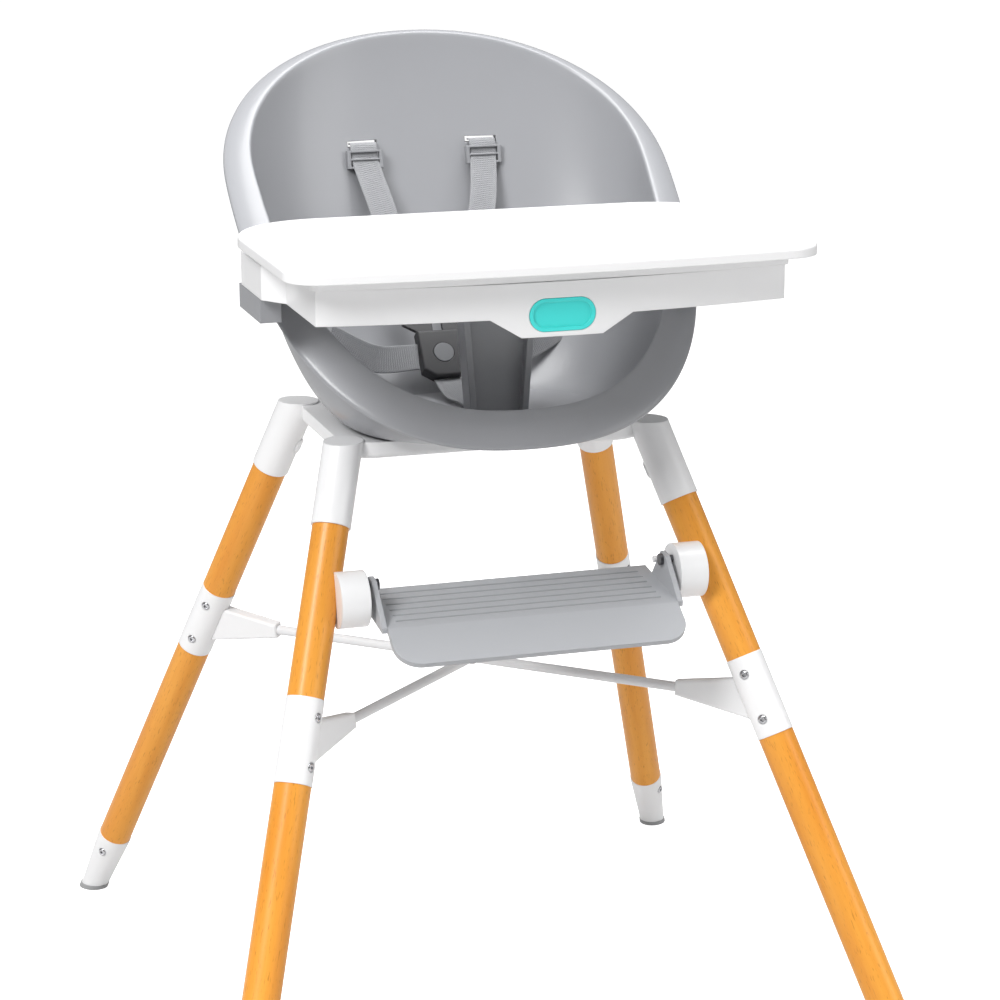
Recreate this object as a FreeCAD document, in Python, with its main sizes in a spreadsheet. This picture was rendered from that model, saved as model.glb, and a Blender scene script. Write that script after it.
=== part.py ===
"""Baby high chair: bucket seat, tray, footrest and four splayed two-piece legs.

Frame: +Z up, the front faces -Y, the origin is on the floor at the centre of the four feet.
All lengths are millimetres.
"""
import FreeCAD
import Part
import Sketcher
import math
import os

from FreeCAD import Placement, Rotation, Vector

PARTS_FOLDER = "parts"
PLANE_ROLES = {"XY": "XY_Plane", "XZ": "XZ_Plane", "YZ": "YZ_Plane"}

# The driving dimensions: alias, value, meaning.
SIZES = [
    ("clearance", 0.3, "gap between pieces that move past each other"),
    ("fit_gap", 0.1, "radial gap of a tenon or rod in its bore"),
    # legs
    ("foot_x", 326, "foot centre from the middle, sideways"),
    ("foot_y", 363.5, "foot centre from the middle, front to back"),
    ("leg_top_x", 170, "top of the wood from the middle, sideways"),
    ("leg_top_y", 122.5, "top of the wood from the middle, front to back"),
    ("leg_top_z", 520, "height of the top of the wood"),
    ("leg_diameter", 34, "wooden leg"),
    ("tenon_diameter", 25, "turned ends of the wooden legs"),
    ("tenon_length", 35, "turned ends of the wooden legs"),
    ("upper_wood_length", 160.4, "exposed wood above the coupler"),
    ("coupler_length", 79, "plastic coupler between the two leg halves"),
    ("coupler_diameter", 35.2, "plastic coupler"),
    ("foot_cap_length", 80, "foot cap, along the leg down to the floor"),
    ("foot_cap_diameter", 27, "lower end of the foot cap"),
    ("foot_pad_diameter", 29, "rubber pad"),
    ("foot_pad_height", 5, "rubber pad above the floor"),
    ("bolt_diameter", 5, "cross bolts of the coupler"),
    ("bolt_head_diameter", 8.6, "cross bolts of the coupler"),
    ("bolt_head_height", 2.2, "cross bolts of the coupler"),
    ("bolt_inset", 17, "cross bolts from the ends of the coupler"),
    ("spot_face_depth", 1.6, "flat seat cut for a bolt head"),
    ("foot_screw_inset", 18, "cross screw below the top of the foot cap"),
    # leg sockets and their push buttons
    ("socket_diameter", 37, "sleeve that holds the top of a leg"),
    ("socket_top_z", 592, "height of the cut top of a sleeve"),
    ("release_height", 37, "push button above the lower end of a sleeve"),
    ("release_length", 17, "push button, along the leg"),
    ("release_width", 10, "push button, across the leg"),
    ("release_proud", 1.2, "push button beyond the sleeve"),
    ("release_travel", 3, "push button stroke"),
    # brace
    ("brace_z", 341, "height of the crossed rods"),
    ("brace_rod_diameter", 9.5, "crossed rods"),
    ("bracket_reach", 86, "tip of a brace bracket from the leg axis"),
    ("bracket_root_height", 40, "brace bracket at the leg"),
    ("bracket_tip_height", 14.5, "brace bracket at the rod"),
    ("bracket_thickness", 14, "brace bracket"),
    ("rod_insertion", 28, "length of rod inside a bracket"),
    # base plate
    ("plate_bottom_z", 574, "underside of the base plate"),
    ("plate_half_x", 150, "base plate"),
    ("plate_half_y", 98, "base plate"),
    ("plate_corner", 34, "base plate corner radius"),
    ("plate_edge_round", 5, "lower edge of the base plate"),
    ("seat_screw_x", 74, "seat screws from the middle"),
    ("seat_screw_y", 58, "seat screws from the middle"),
    ("seat_screw_diameter", 6, "seat screws"),
    # seat shell
    ("seat_bottom_z", 590, "underside of the seat"),
    ("seat_floor_thickness", 9, "seat floor"),
    ("seat_wall", 4.5, "seat wall"),
    ("rim_half_width", 222, "outer edge of the rim, sideways"),
    ("rim_centre_y", 55, "widest point of the rim"),
    ("rim_back_reach", 149, "rim behind its widest point"),
    ("rim_front_reach", 252, "rim in front of its widest point"),
    ("rim_height", 764, "height of the rim plane at y = 0"),
    ("rim_slope", 0.84, "rise of the rim plane per length to the back"),
    ("rim_back_power", 2.1, "roundness of the back outline"),
    ("rim_front_power", 2.5, "roundness of the front outline"),
    ("rim_band_front", 37, "width of the rolled rim at the front"),
    ("rim_band_back", 13, "width of the rolled rim at the back"),
    ("rim_crown", 10, "rise of the rolled rim above its outer edge"),
    ("rim_edge", 6, "thickness of the rolled rim"),
    ("floor_half_width", 118, "flat of the seat floor"),
    ("floor_half_depth", 88, "flat of the seat floor"),
    ("floor_centre_y", -38, "flat of the seat floor"),
    ("belly_power_front", 2.0, "roundness of the front and side walls"),
    ("belly_power_back", 1.5, "roundness of the back wall"),
    # tray
    ("tray_bottom_z", 735, "underside of the tray body"),
    ("tray_top_z", 766, "deck of the tray body"),
    ("tray_half_width", 214, "tray body at its front corners"),
    ("tray_front_y", -282, "tray body at the middle of its front face"),
    ("tray_bow", 20, "front face, middle ahead of its corners"),
    ("tray_rear_y", -64, "rear edge of the tray body"),
    ("tray_wall", 3, "tray body"),
    ("tray_chin_drop", 17, "chin below the tray body"),
    ("tray_chin_half", 37, "flat bottom of the chin"),
    ("tray_chin_slope", 28, "sloped sides of the chin"),
    ("tray_chin_depth", 26, "chin, front to back"),
    ("arm_inner_x", 212, "side arms"),
    ("arm_outer_x", 231, "side arms"),
    ("arm_front_y", -135, "side arms"),
    ("arm_rear_y", -46, "side arms"),
    ("liner_half_width", 242, "tray liner"),
    ("liner_front_y", -305, "tray liner"),
    ("liner_rear_y", -6, "tray liner"),
    ("liner_bow", 14, "front edge of the liner, middle ahead of its corners"),
    ("liner_front_corner", 34, "tray liner corner radius"),
    ("liner_rear_corner", 88, "tray liner corner radius"),
    ("liner_top_z", 786, "top of the liner rim"),
    ("liner_edge", 10, "thickness of the liner edge"),
    ("liner_border", 15, "width of the liner rim"),
    ("liner_floor", 4, "liner floor"),
    ("liner_overhang", 24, "liner edge beyond its skirt"),
    # tray button and latch
    ("button_length", 60, "tray button"),
    ("button_height", 29, "tray button"),
    ("button_z", 737, "tray button centre"),
    ("button_depth", 12, "tray button body"),
    ("button_travel", 4.5, "tray button stroke"),
    ("button_dish", 1.6, "hollow of the button face"),
    ("latch_z", 750, "middle of the latch bars"),
    ("latch_thickness", 5, "latch bars"),
    ("latch_width", 8, "latch bars"),
    ("latch_y", -110, "latch tips"),
    ("latch_travel", 6.3, "latch stroke"),
    # tray rails on the seat
    ("rail_front_y", -122, "tray rails"),
    ("rail_rear_y", -36, "tray rails"),
    ("rail_height", 22, "tray rails"),
    ("rail_rib_height", 21, "guide rib on a rail"),
    ("rail_groove_depth", 6.5, "groove for the latch tip in a guide rib"),
    # footrest
    ("pivot_y", -161, "footrest pins"),
    ("pivot_z", 473, "footrest pins"),
    ("pin_diameter", 7, "footrest pins"),
    ("footrest_half_width", 139, "footrest plate"),
    ("footrest_drop", 23.5, "footrest top below the pins"),
    ("footrest_rear", 43.4, "footrest plate behind the pins"),
    ("footrest_front", 46.2, "footrest plate in front of the pins"),
    ("apron_forward", 41.5, "sloped front of the footrest"),
    ("apron_fall", 19, "sloped front of the footrest"),
    ("apron_corner", 24, "rounded lower corners of the apron"),
    ("footrest_tilt", 7, "footrest top, degrees down to the front"),
    ("footrest_thickness", 5, "footrest plate"),
    ("groove_count", 6, "grooves of the footrest"),
    ("groove_width", 3, "grooves of the footrest"),
    ("groove_depth", 1.2, "grooves of the footrest"),
    ("groove_border", 12, "plain border around the grooves"),
    ("ear_thickness", 5, "footrest ears"),
    ("footrest_boss_diameter", 52, "footrest bracket on a leg"),
    ("footrest_boss_inner", 149, "inner face of a footrest bracket from the middle"),
    ("footrest_boss_reach", 176, "outer end of a footrest bracket from the middle"),
    ("footrest_boss_drop", 12, "middle of a footrest bracket below its pin"),
    ("stop_peg_diameter", 6, "peg that stops the footrest ears"),
    # crotch post
    ("post_y", -85, "crotch post"),
    ("post_top_z", 731, "crotch post"),
    ("post_depth", 24, "crotch post, front to back"),
    ("post_half_bottom", 27, "crotch post"),
    ("post_half_top", 37, "crotch post"),
    ("post_rib", 6, "side ribs of the crotch post"),
    ("post_web", 5, "web of the crotch post"),
    # harness
    ("strap_width", 27, "harness webbing"),
    ("strap_thickness", 1.8, "harness webbing"),
    ("adjuster_width", 36, "strap adjusters"),
    ("adjuster_height", 18, "strap adjusters"),
    ("adjuster_thickness", 5, "strap adjusters"),
    ("adjuster_x", 61, "strap adjusters from the middle"),
    ("adjuster_z", 815, "strap adjusters"),
    ("buckle_width", 46, "buckle"),
    ("buckle_height", 50, "buckle"),
    ("buckle_thickness", 15, "buckle"),
    ("buckle_button_diameter", 20, "buckle push button"),
    ("buckle_travel", 2.5, "buckle push button stroke"),
]

LEGS = {"fl": (-1, -1), "fr": (1, -1), "rl": (-1, 1), "rr": (1, 1)}
SIDES = {"left": -1, "right": 1}

doc = FreeCAD.newDocument("HighChair")
sheet = doc.addObject("Spreadsheet::Sheet", "Sizes")
for row, (alias, value, meaning) in enumerate(SIZES, start=1):
    sheet.set(f"A{row}", alias)
    sheet.set(f"B{row}", str(value))
    sheet.setAlias(f"B{row}", alias)
    sheet.set(f"C{row}", meaning)
doc.recompute()

nodes = []


def size(alias):
    """The value of one driving dimension."""
    return float(sheet.get(alias))


def formula(text):
    """An expression in which each word between braces is a driving dimension."""
    return text.replace("{", "<<Sizes>>.").replace("}", "")


# ---------------------------------------------------------------- small helpers

def keep(feature, label):
    """Name a finished sub-part and put it on the list of files to write."""
    feature.Label = label
    nodes.append(feature)
    return feature


def bind(feature, **expressions):
    """Bind properties of a feature to expressions over the sheet."""
    for name, text in expressions.items():
        feature.setExpression(name.replace("__", "."), formula(text))
    return feature


def new_body(name, placement=None):
    """An empty body at its place."""
    body = doc.addObject("PartDesign::Body", name)
    if placement is not None:
        body.Placement = placement
    return body


def new_sketch(body, plane, name, offset=None):
    """A sketch on one of the body's origin planes, lifted by an expression if one is given."""
    sketch = body.newObject("Sketcher::SketchObject", name)
    role = PLANE_ROLES[plane]
    origin_plane = [item for item in body.Origin.OriginFeatures if item.Role == role][0]
    sketch.AttachmentSupport = (origin_plane, [""])
    sketch.MapMode = "FlatFace"
    if offset is not None:
        sketch.setExpression("AttachmentOffset.Base.z", formula(offset))
    return sketch


def draw_polygon(sketch, corners):
    """A closed outline whose corners are pairs of expressions, each measured from the origin."""
    count = len(corners)
    first = sketch.GeometryCount
    turn = 2 * math.pi / count
    spots = [Vector(10 * math.cos(i * turn), 10 * math.sin(i * turn), 0) for i in range(count)]
    for i in range(count):
        sketch.addGeometry(Part.LineSegment(spots[i], spots[(i + 1) % count]), False)
    for i in range(count):
        here = first + i
        following = first + (i + 1) % count
        sketch.addConstraint(Sketcher.Constraint("Coincident", here, 2, following, 1))
    for i, (across, up) in enumerate(corners):
        for kind, text, spot in (("DistanceX", across, spots[i].x), ("DistanceY", up, spots[i].y)):
            index = sketch.addConstraint(Sketcher.Constraint(kind, -1, 1, first + i, 1, spot))
            sketch.setExpression(f"Constraints[{index}]", formula(text))


def draw_circle(sketch, across, up, radius):
    """A circle whose centre and radius are expressions."""
    index = sketch.addGeometry(Part.Circle(Vector(5, 5, 0), Vector(0, 0, 1), 1), False)
    for kind, text in (("DistanceX", across), ("DistanceY", up)):
        number = sketch.addConstraint(Sketcher.Constraint(kind, -1, 1, index, 3, 5))
        sketch.setExpression(f"Constraints[{number}]", formula(text))
    number = sketch.addConstraint(Sketcher.Constraint("Radius", index, 1))
    sketch.setExpression(f"Constraints[{number}]", formula(radius))


def draw_stadium(sketch, across, up, half_straight, radius, upright=False):
    """A slot outline, round at both ends, long across or, if asked, upright."""
    turn = Rotation(Vector(0, 0, 1), 90 if upright else 0)
    quarter = math.pi / 2
    lift = quarter if upright else 0

    def spot(x, y):
        return turn.multVec(Vector(x, y, 0))

    def end_arc(x, start):
        circle = Part.Circle(spot(x, 0), Vector(0, 0, 1), 2)
        return Part.ArcOfCircle(circle, start + lift, start + lift + math.pi)

    near = sketch.addGeometry(Part.LineSegment(spot(-5, -2), spot(5, -2)), False)
    right = sketch.addGeometry(end_arc(5, -quarter), False)
    far = sketch.addGeometry(Part.LineSegment(spot(5, 2), spot(-5, 2)), False)
    left = sketch.addGeometry(end_arc(-5, quarter), False)
    for first, second in ((near, right), (right, far), (far, left), (left, near)):
        sketch.addConstraint(Sketcher.Constraint("Tangent", first, 2, second, 1))
    along, aside = ("DistanceY", "DistanceX") if upright else ("DistanceX", "DistanceY")
    middle, level = (up, across) if upright else (across, up)
    places = ((along, right, f"({middle}) + ({half_straight})", 5),
              (aside, right, level, 0),
              (along, left, f"({middle}) - ({half_straight})", -5),
              (aside, left, level, 0))
    for kind, geometry, text, value in places:
        number = sketch.addConstraint(Sketcher.Constraint(kind, -1, 1, geometry, 3, value))
        sketch.setExpression(f"Constraints[{number}]", formula(text))
    sketch.addConstraint(Sketcher.Constraint("Equal", right, left))
    number = sketch.addConstraint(Sketcher.Constraint("Radius", right, 2))
    sketch.setExpression(f"Constraints[{number}]", formula(radius))


def draw_bowed(sketch, half, front, bow, rear):
    """A plate seen from above: straight back and sides, a front edge that bows forward.

    The four sizes are expressions. The bow is small beside the width, so its sagitta fixes it.
    """
    half_now, front_now, bow_now, rear_now = 200, -250, 15, -50
    corner = front_now + bow_now
    corners = [Vector(-half_now, rear_now, 0), Vector(-half_now, corner, 0),
               Vector(half_now, corner, 0), Vector(half_now, rear_now, 0)]
    left = sketch.addGeometry(Part.LineSegment(corners[0], corners[1]), False)
    arc = sketch.addGeometry(Part.Arc(corners[1], Vector(0, front_now, 0), corners[2]), False)
    right = sketch.addGeometry(Part.LineSegment(corners[2], corners[3]), False)
    back = sketch.addGeometry(Part.LineSegment(corners[3], corners[0]), False)
    arc_start, arc_end = (1, 2) if sketch.getPoint(arc, 1).x < 0 else (2, 1)
    for pair in ((left, 2, arc, arc_start), (arc, arc_end, right, 1), (right, 2, back, 1),
                 (back, 2, left, 1)):
        sketch.addConstraint(Sketcher.Constraint("Coincident", *pair))
    places = ((left, 1, f"-({half})", rear, corners[0]),
              (left, 2, f"-({half})", f"({front}) + ({bow})", corners[1]),
              (right, 1, half, f"({front}) + ({bow})", corners[2]),
              (right, 2, half, rear, corners[3]))
    for geometry, end, across, up, now in places:
        for kind, text, value in (("DistanceX", across, now.x), ("DistanceY", up, now.y)):
            number = sketch.addConstraint(Sketcher.Constraint(kind, -1, 1, geometry, end, value))
            sketch.setExpression(f"Constraints[{number}]", formula(text))
    radius = (half_now ** 2 + bow_now ** 2) / (2 * bow_now)
    number = sketch.addConstraint(Sketcher.Constraint("Radius", arc, radius))
    sketch.setExpression(f"Constraints[{number}]", formula(f"(({half})^2 + ({bow})^2) / (2 * ({bow}))"))


def pad(body, sketch, length, both_ways=False, reverse=False):
    """Material along the sketch's normal."""
    feature = body.newObject("PartDesign::Pad", f"{sketch.Name}_pad")
    feature.Profile = sketch
    feature.Midplane = both_ways
    feature.Reversed = reverse
    sketch.Visibility = False
    return bind(feature, Length=length)


def pocket(body, sketch, length, both_ways=False, reverse=False):
    """A cut along the sketch's normal; reversed cuts go along it, plain ones against it."""
    feature = body.newObject("PartDesign::Pocket", f"{sketch.Name}_cut")
    feature.Profile = sketch
    feature.Midplane = both_ways
    feature.Reversed = reverse
    sketch.Visibility = False
    return bind(feature, Length=length)


def turned(body, corners, name="profile"):
    """A revolution about the body's own Z axis of an outline of (radius, height)."""
    sketch = new_sketch(body, "XZ", f"{body.Name}_{name}")
    draw_polygon(sketch, corners)
    feature = body.newObject("PartDesign::Revolution", f"{body.Name}_{name}_turn")
    feature.Profile = sketch
    feature.ReferenceAxis = (sketch, ["V_Axis"])
    feature.Angle = 360
    sketch.Visibility = False
    return feature


def rounded(body, edges_of, radius, test):
    """A fillet on the edges of a feature that pass a test."""
    doc.recompute()
    picked = [f"Edge{i}" for i, edge in enumerate(edges_of.Shape.Edges, start=1) if test(edge)]
    feature = body.newObject("PartDesign::Fillet", f"{body.Name}_round_{len(body.Group)}")
    feature.Base = (edges_of, picked)
    return bind(feature, Radius=radius)


def is_upright(edge):
    """True for a straight edge along Z."""
    return len(edge.Vertexes) == 2 and edge.BoundBox.XLength < 1e-4 and edge.BoundBox.YLength < 1e-4


def primitive(kind, name, placement, **expressions):
    """A Part primitive whose sizes are expressions."""
    solid = doc.addObject(f"Part::{kind}", name)
    solid.Placement = placement
    return bind(solid, **expressions)


def difference(name, base, tools):
    """One shape with others cut out of it, one after another."""
    result = base
    for number, tool in enumerate(tools, start=1):
        cut = doc.addObject("Part::Cut", f"{name}_cut_{number}")
        cut.Base = result
        cut.Tool = tool
        result = cut
    return result


def union(name, shapes):
    """Several shapes fused into one."""
    fused = doc.addObject("Part::MultiFuse", name)
    fused.Shapes = shapes
    fused.Refine = True
    return fused


def overlap(name, base, tool):
    """What two shapes share."""
    common = doc.addObject("Part::Common", name)
    common.Base = base
    common.Tool = tool
    return common


def made_of(name, shape):
    """A feature whose shape is worked out here from the sheet."""
    feature = doc.addObject("Part::Feature", name)
    feature.Shape = shape
    return feature


def toward(origin, z_axis, x_axis):
    """A placement whose Z and X axes point along two given perpendicular directions."""
    z_dir = Vector(z_axis).normalize()
    x_dir = Vector(x_axis).normalize()
    y_dir = z_dir.cross(x_dir)
    return Placement(origin, Rotation(x_dir, y_dir, z_dir, "ZXY"))


# ---------------------------------------------------------------- legs

class LegLine:
    """The axis of one leg: where its pieces sit and how they turn."""

    def __init__(self, side_x, side_y):
        self.foot = Vector(side_x * size("foot_x"), side_y * size("foot_y"), 0)
        self.top = Vector(side_x * size("leg_top_x"), side_y * size("leg_top_y"), size("leg_top_z"))
        self.up = (self.top - self.foot).normalize()
        self.length = (self.top - self.foot).Length
        middle = self.point(-size("upper_wood_length") - size("coupler_length") / 2)
        self.inward = Vector(-middle.x, -middle.y, 0).normalize()
        self.across = self.up.cross(self.inward).normalize()
        self.frame = toward(self.top, self.up, self.across)

    def point(self, along):
        """The point at a signed length up the leg from the top of the wood."""
        return self.top + self.up * along

    def at_height(self, height):
        """The point of the axis at a height above the floor."""
        return self.foot + self.up * (height / self.up.z)

    def brace_way(self):
        """The level direction from the axis to the middle of the crossed rods."""
        start = self.at_height(size("brace_z"))
        return Vector(-start.x, -start.y, 0).normalize()

    def placed(self, along):
        """The leg's frame moved along the leg."""
        return Placement(self.point(along), self.frame.Rotation)


legs = {name: LegLine(*sides) for name, sides in LEGS.items()}
leg_length = legs["fl"].length
sheet_row = len(SIZES) + 1
sheet.set(f"A{sheet_row}", "leg_length")
sheet.set(f"B{sheet_row}", str(leg_length))
sheet.setAlias(f"B{sheet_row}", "leg_length")
sheet.set(f"C{sheet_row}", "worked out from the foot and the top of a leg")
doc.recompute()

BORE = "{tenon_diameter} / 2 + {fit_gap}"
TENON = "{tenon_diameter} / 2"
COUPLER_TOP = "-{upper_wood_length}"
COUPLER_BOTTOM = "-{upper_wood_length} - {coupler_length}"
CAP_TOP = "-{leg_length} + {foot_cap_length}"


def cross_hole(body, height, name, diameter="{bolt_diameter}"):
    """A hole right through a leg piece along the bolts' direction."""
    sketch = new_sketch(body, "YZ", f"{body.Name}_{name}")
    draw_circle(sketch, "0", height, f"{diameter} / 2")
    return pocket(body, sketch, "{socket_diameter} * 2", both_ways=True)


def spot_faces(body, height, name, outer):
    """Flat seats for the heads at both ends of a cross bolt."""
    for side, reverse in (("1", True), ("-1", False)):
        offset = f"{side} * ({outer} / 2 - {{spot_face_depth}})"
        sketch = new_sketch(body, "YZ", f"{body.Name}_{name}_{'out' if reverse else 'in'}", offset)
        draw_circle(sketch, "0", height, "{bolt_head_diameter} / 2 + {clearance}")
        pocket(body, sketch, "{bolt_head_diameter}", reverse=reverse)


def wooden_leg(label, line, bottom, top):
    """A beech dowel with a turned tenon and a bolt hole at each end."""
    body = new_body(label, line.frame)
    turned(body, [("0", f"{bottom} - {{tenon_length}}"), (TENON, f"{bottom} - {{tenon_length}}"),
                  (TENON, bottom), ("{leg_diameter} / 2", bottom),
                  ("{leg_diameter} / 2", top), (TENON, top),
                  (TENON, f"{top} + {{tenon_length}}"), ("0", f"{top} + {{tenon_length}}")])
    return body


def build_leg(name, line):
    """All the pieces along one leg except its rubber pad."""
    upper = wooden_leg(f"upper_leg_{name}", line, COUPLER_TOP, "0")
    cross_hole(upper, COUPLER_TOP + " - {bolt_inset}", "bolt")
    keep(upper, f"upper_leg_{name}")

    coupler = new_body(f"leg_coupler_{name}", line.frame)
    outer = "{coupler_diameter} / 2"
    depth = "({tenon_length} + {clearance})"
    turned(coupler, [(BORE, COUPLER_TOP), (outer, COUPLER_TOP), (outer, COUPLER_BOTTOM),
                     (BORE, COUPLER_BOTTOM), (BORE, f"{COUPLER_BOTTOM} + {depth}"),
                     ("0", f"{COUPLER_BOTTOM} + {depth}"), ("0", f"{COUPLER_TOP} - {depth}"),
                     (BORE, f"{COUPLER_TOP} - {depth}")])
    for spot, height in (("upper", COUPLER_TOP + " - {bolt_inset}"),
                         ("lower", COUPLER_BOTTOM + " + {bolt_inset}")):
        cross_hole(coupler, height, spot)
        spot_faces(coupler, height, spot + "_face", "{coupler_diameter}")
    keep(coupler, f"leg_coupler_{name}")

    lower = wooden_leg(f"lower_leg_{name}", line, CAP_TOP, COUPLER_BOTTOM)
    cross_hole(lower, COUPLER_BOTTOM + " + {bolt_inset}", "bolt")
    cross_hole(lower, CAP_TOP + " - {foot_screw_inset}", "screw")
    keep(lower, f"lower_leg_{name}")

    cap = new_body(f"foot_cap_body_{name}", line.frame)
    beyond = "-{leg_length} - {foot_pad_diameter}"
    turned(cap, [(BORE, CAP_TOP), ("{coupler_diameter} / 2", CAP_TOP),
                 ("{coupler_diameter} / 2", CAP_TOP + " - 6"),
                 ("{foot_cap_diameter} / 2", "-{leg_length} + {foot_pad_height}"),
                 ("{foot_cap_diameter} / 2", beyond), ("0", beyond),
                 ("0", f"{CAP_TOP} - {depth}"), (BORE, f"{CAP_TOP} - {depth}")])
    cross_hole(cap, CAP_TOP + " - {foot_screw_inset}", "screw")
    spot_faces(cap, CAP_TOP + " - {foot_screw_inset}", "face", "{coupler_diameter}")
    ground = primitive("Box", f"ground_{name}", floor_block_place(line), Length="{foot_pad_diameter} * 4",
                       Width="{foot_pad_diameter} * 4",
                       Height="{foot_pad_diameter} * 3 + {foot_pad_height}")
    keep(difference(f"foot_cap_{name}", cap, [ground]), f"foot_cap_{name}")


def floor_block_place(line):
    """A block around a foot whose top is the level where the cap meets its pad."""
    half = 2 * size("foot_pad_diameter")
    return Placement(line.foot + Vector(-half, -half, -3 * size("foot_pad_diameter")), Rotation())


def build_pad(name, line):
    """The slice of a slanted rubber plug between the floor and the cap."""
    plug = primitive("Cylinder", f"pad_plug_{name}", line.placed(-leg_length - size("foot_pad_diameter")),
                     Radius="{foot_pad_diameter} / 2", Height="{foot_pad_diameter} * 2")
    half = 2 * size("foot_pad_diameter")
    slab = primitive("Box", f"pad_slab_{name}", Placement(line.foot + Vector(-half, -half, 0), Rotation()),
                     Length="{foot_pad_diameter} * 4", Width="{foot_pad_diameter} * 4",
                     Height="{foot_pad_height}")
    return overlap(f"pad_{name}", plug, slab)


def group(label, members):
    """Separate identical solids kept in one file."""
    compound = doc.addObject("Part::Compound", label)
    compound.Links = members
    return keep(compound, label)


def cross_bolt(name, line, along, outer_diameter):
    """A bolt through a leg piece with a domed head at each end."""
    seat_half = outer_diameter / 2 - size("spot_face_depth")
    middle = line.point(along)
    across = line.frame.Rotation.multVec(Vector(1, 0, 0))
    start = middle - across * seat_half
    shank = primitive("Cylinder", f"{name}_shank", toward(start, across, line.up),
                      Radius="{bolt_diameter} / 2 - {fit_gap}")
    shank.Height = 2 * seat_half
    heads = []
    for end, sign in (("a", -1), ("b", 1)):
        head_seat = middle + across * sign * seat_half
        head = primitive("Cone", f"{name}_head_{end}", toward(head_seat, across * sign, line.up),
                         Radius1="{bolt_head_diameter} / 2",
                         Radius2="{bolt_head_diameter} / 2 - {bolt_head_height} / 2",
                         Height="{bolt_head_height}")
        heads.append(head)
    return union(name, [shank] + heads)


for leg_name, leg_line in legs.items():
    build_leg(leg_name, leg_line)
group("foot_pads", [build_pad(leg_name, leg_line) for leg_name, leg_line in legs.items()])

upper_bolt_at = -size("upper_wood_length") - size("bolt_inset")
lower_bolt_at = -size("upper_wood_length") - size("coupler_length") + size("bolt_inset")
foot_screw_at = -leg_length + size("foot_cap_length") - size("foot_screw_inset")
coupler_bolts = []
foot_screws = []
for leg_name, leg_line in legs.items():
    for spot, along in (("upper", upper_bolt_at), ("lower", lower_bolt_at)):
        coupler_bolts.append(cross_bolt(f"bolt_{spot}_{leg_name}", leg_line, along,
                                        size("coupler_diameter")))
    foot_screws.append(cross_bolt(f"foot_screw_{leg_name}", leg_line, foot_screw_at,
                                  size("coupler_diameter")))
group("coupler_bolts", coupler_bolts)
group("foot_screws", foot_screws)
doc.recompute()

# ---------------------------------------------------------------- seat shell

RING_POINTS = 44
WALL_STEPS = (90, 80, 68, 56, 44, 33, 22, 12, 4)  # degrees, from the floor up to the rim
BAND_STEPS = (1.0, 0.85, 0.65, 0.45, 0.25, 0.1)  # shares of the rolled rim, inner edge outwards


def signed_power(value, power):
    """A power that keeps the sign of its base."""
    return math.copysign(abs(value) ** power, value)


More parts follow.
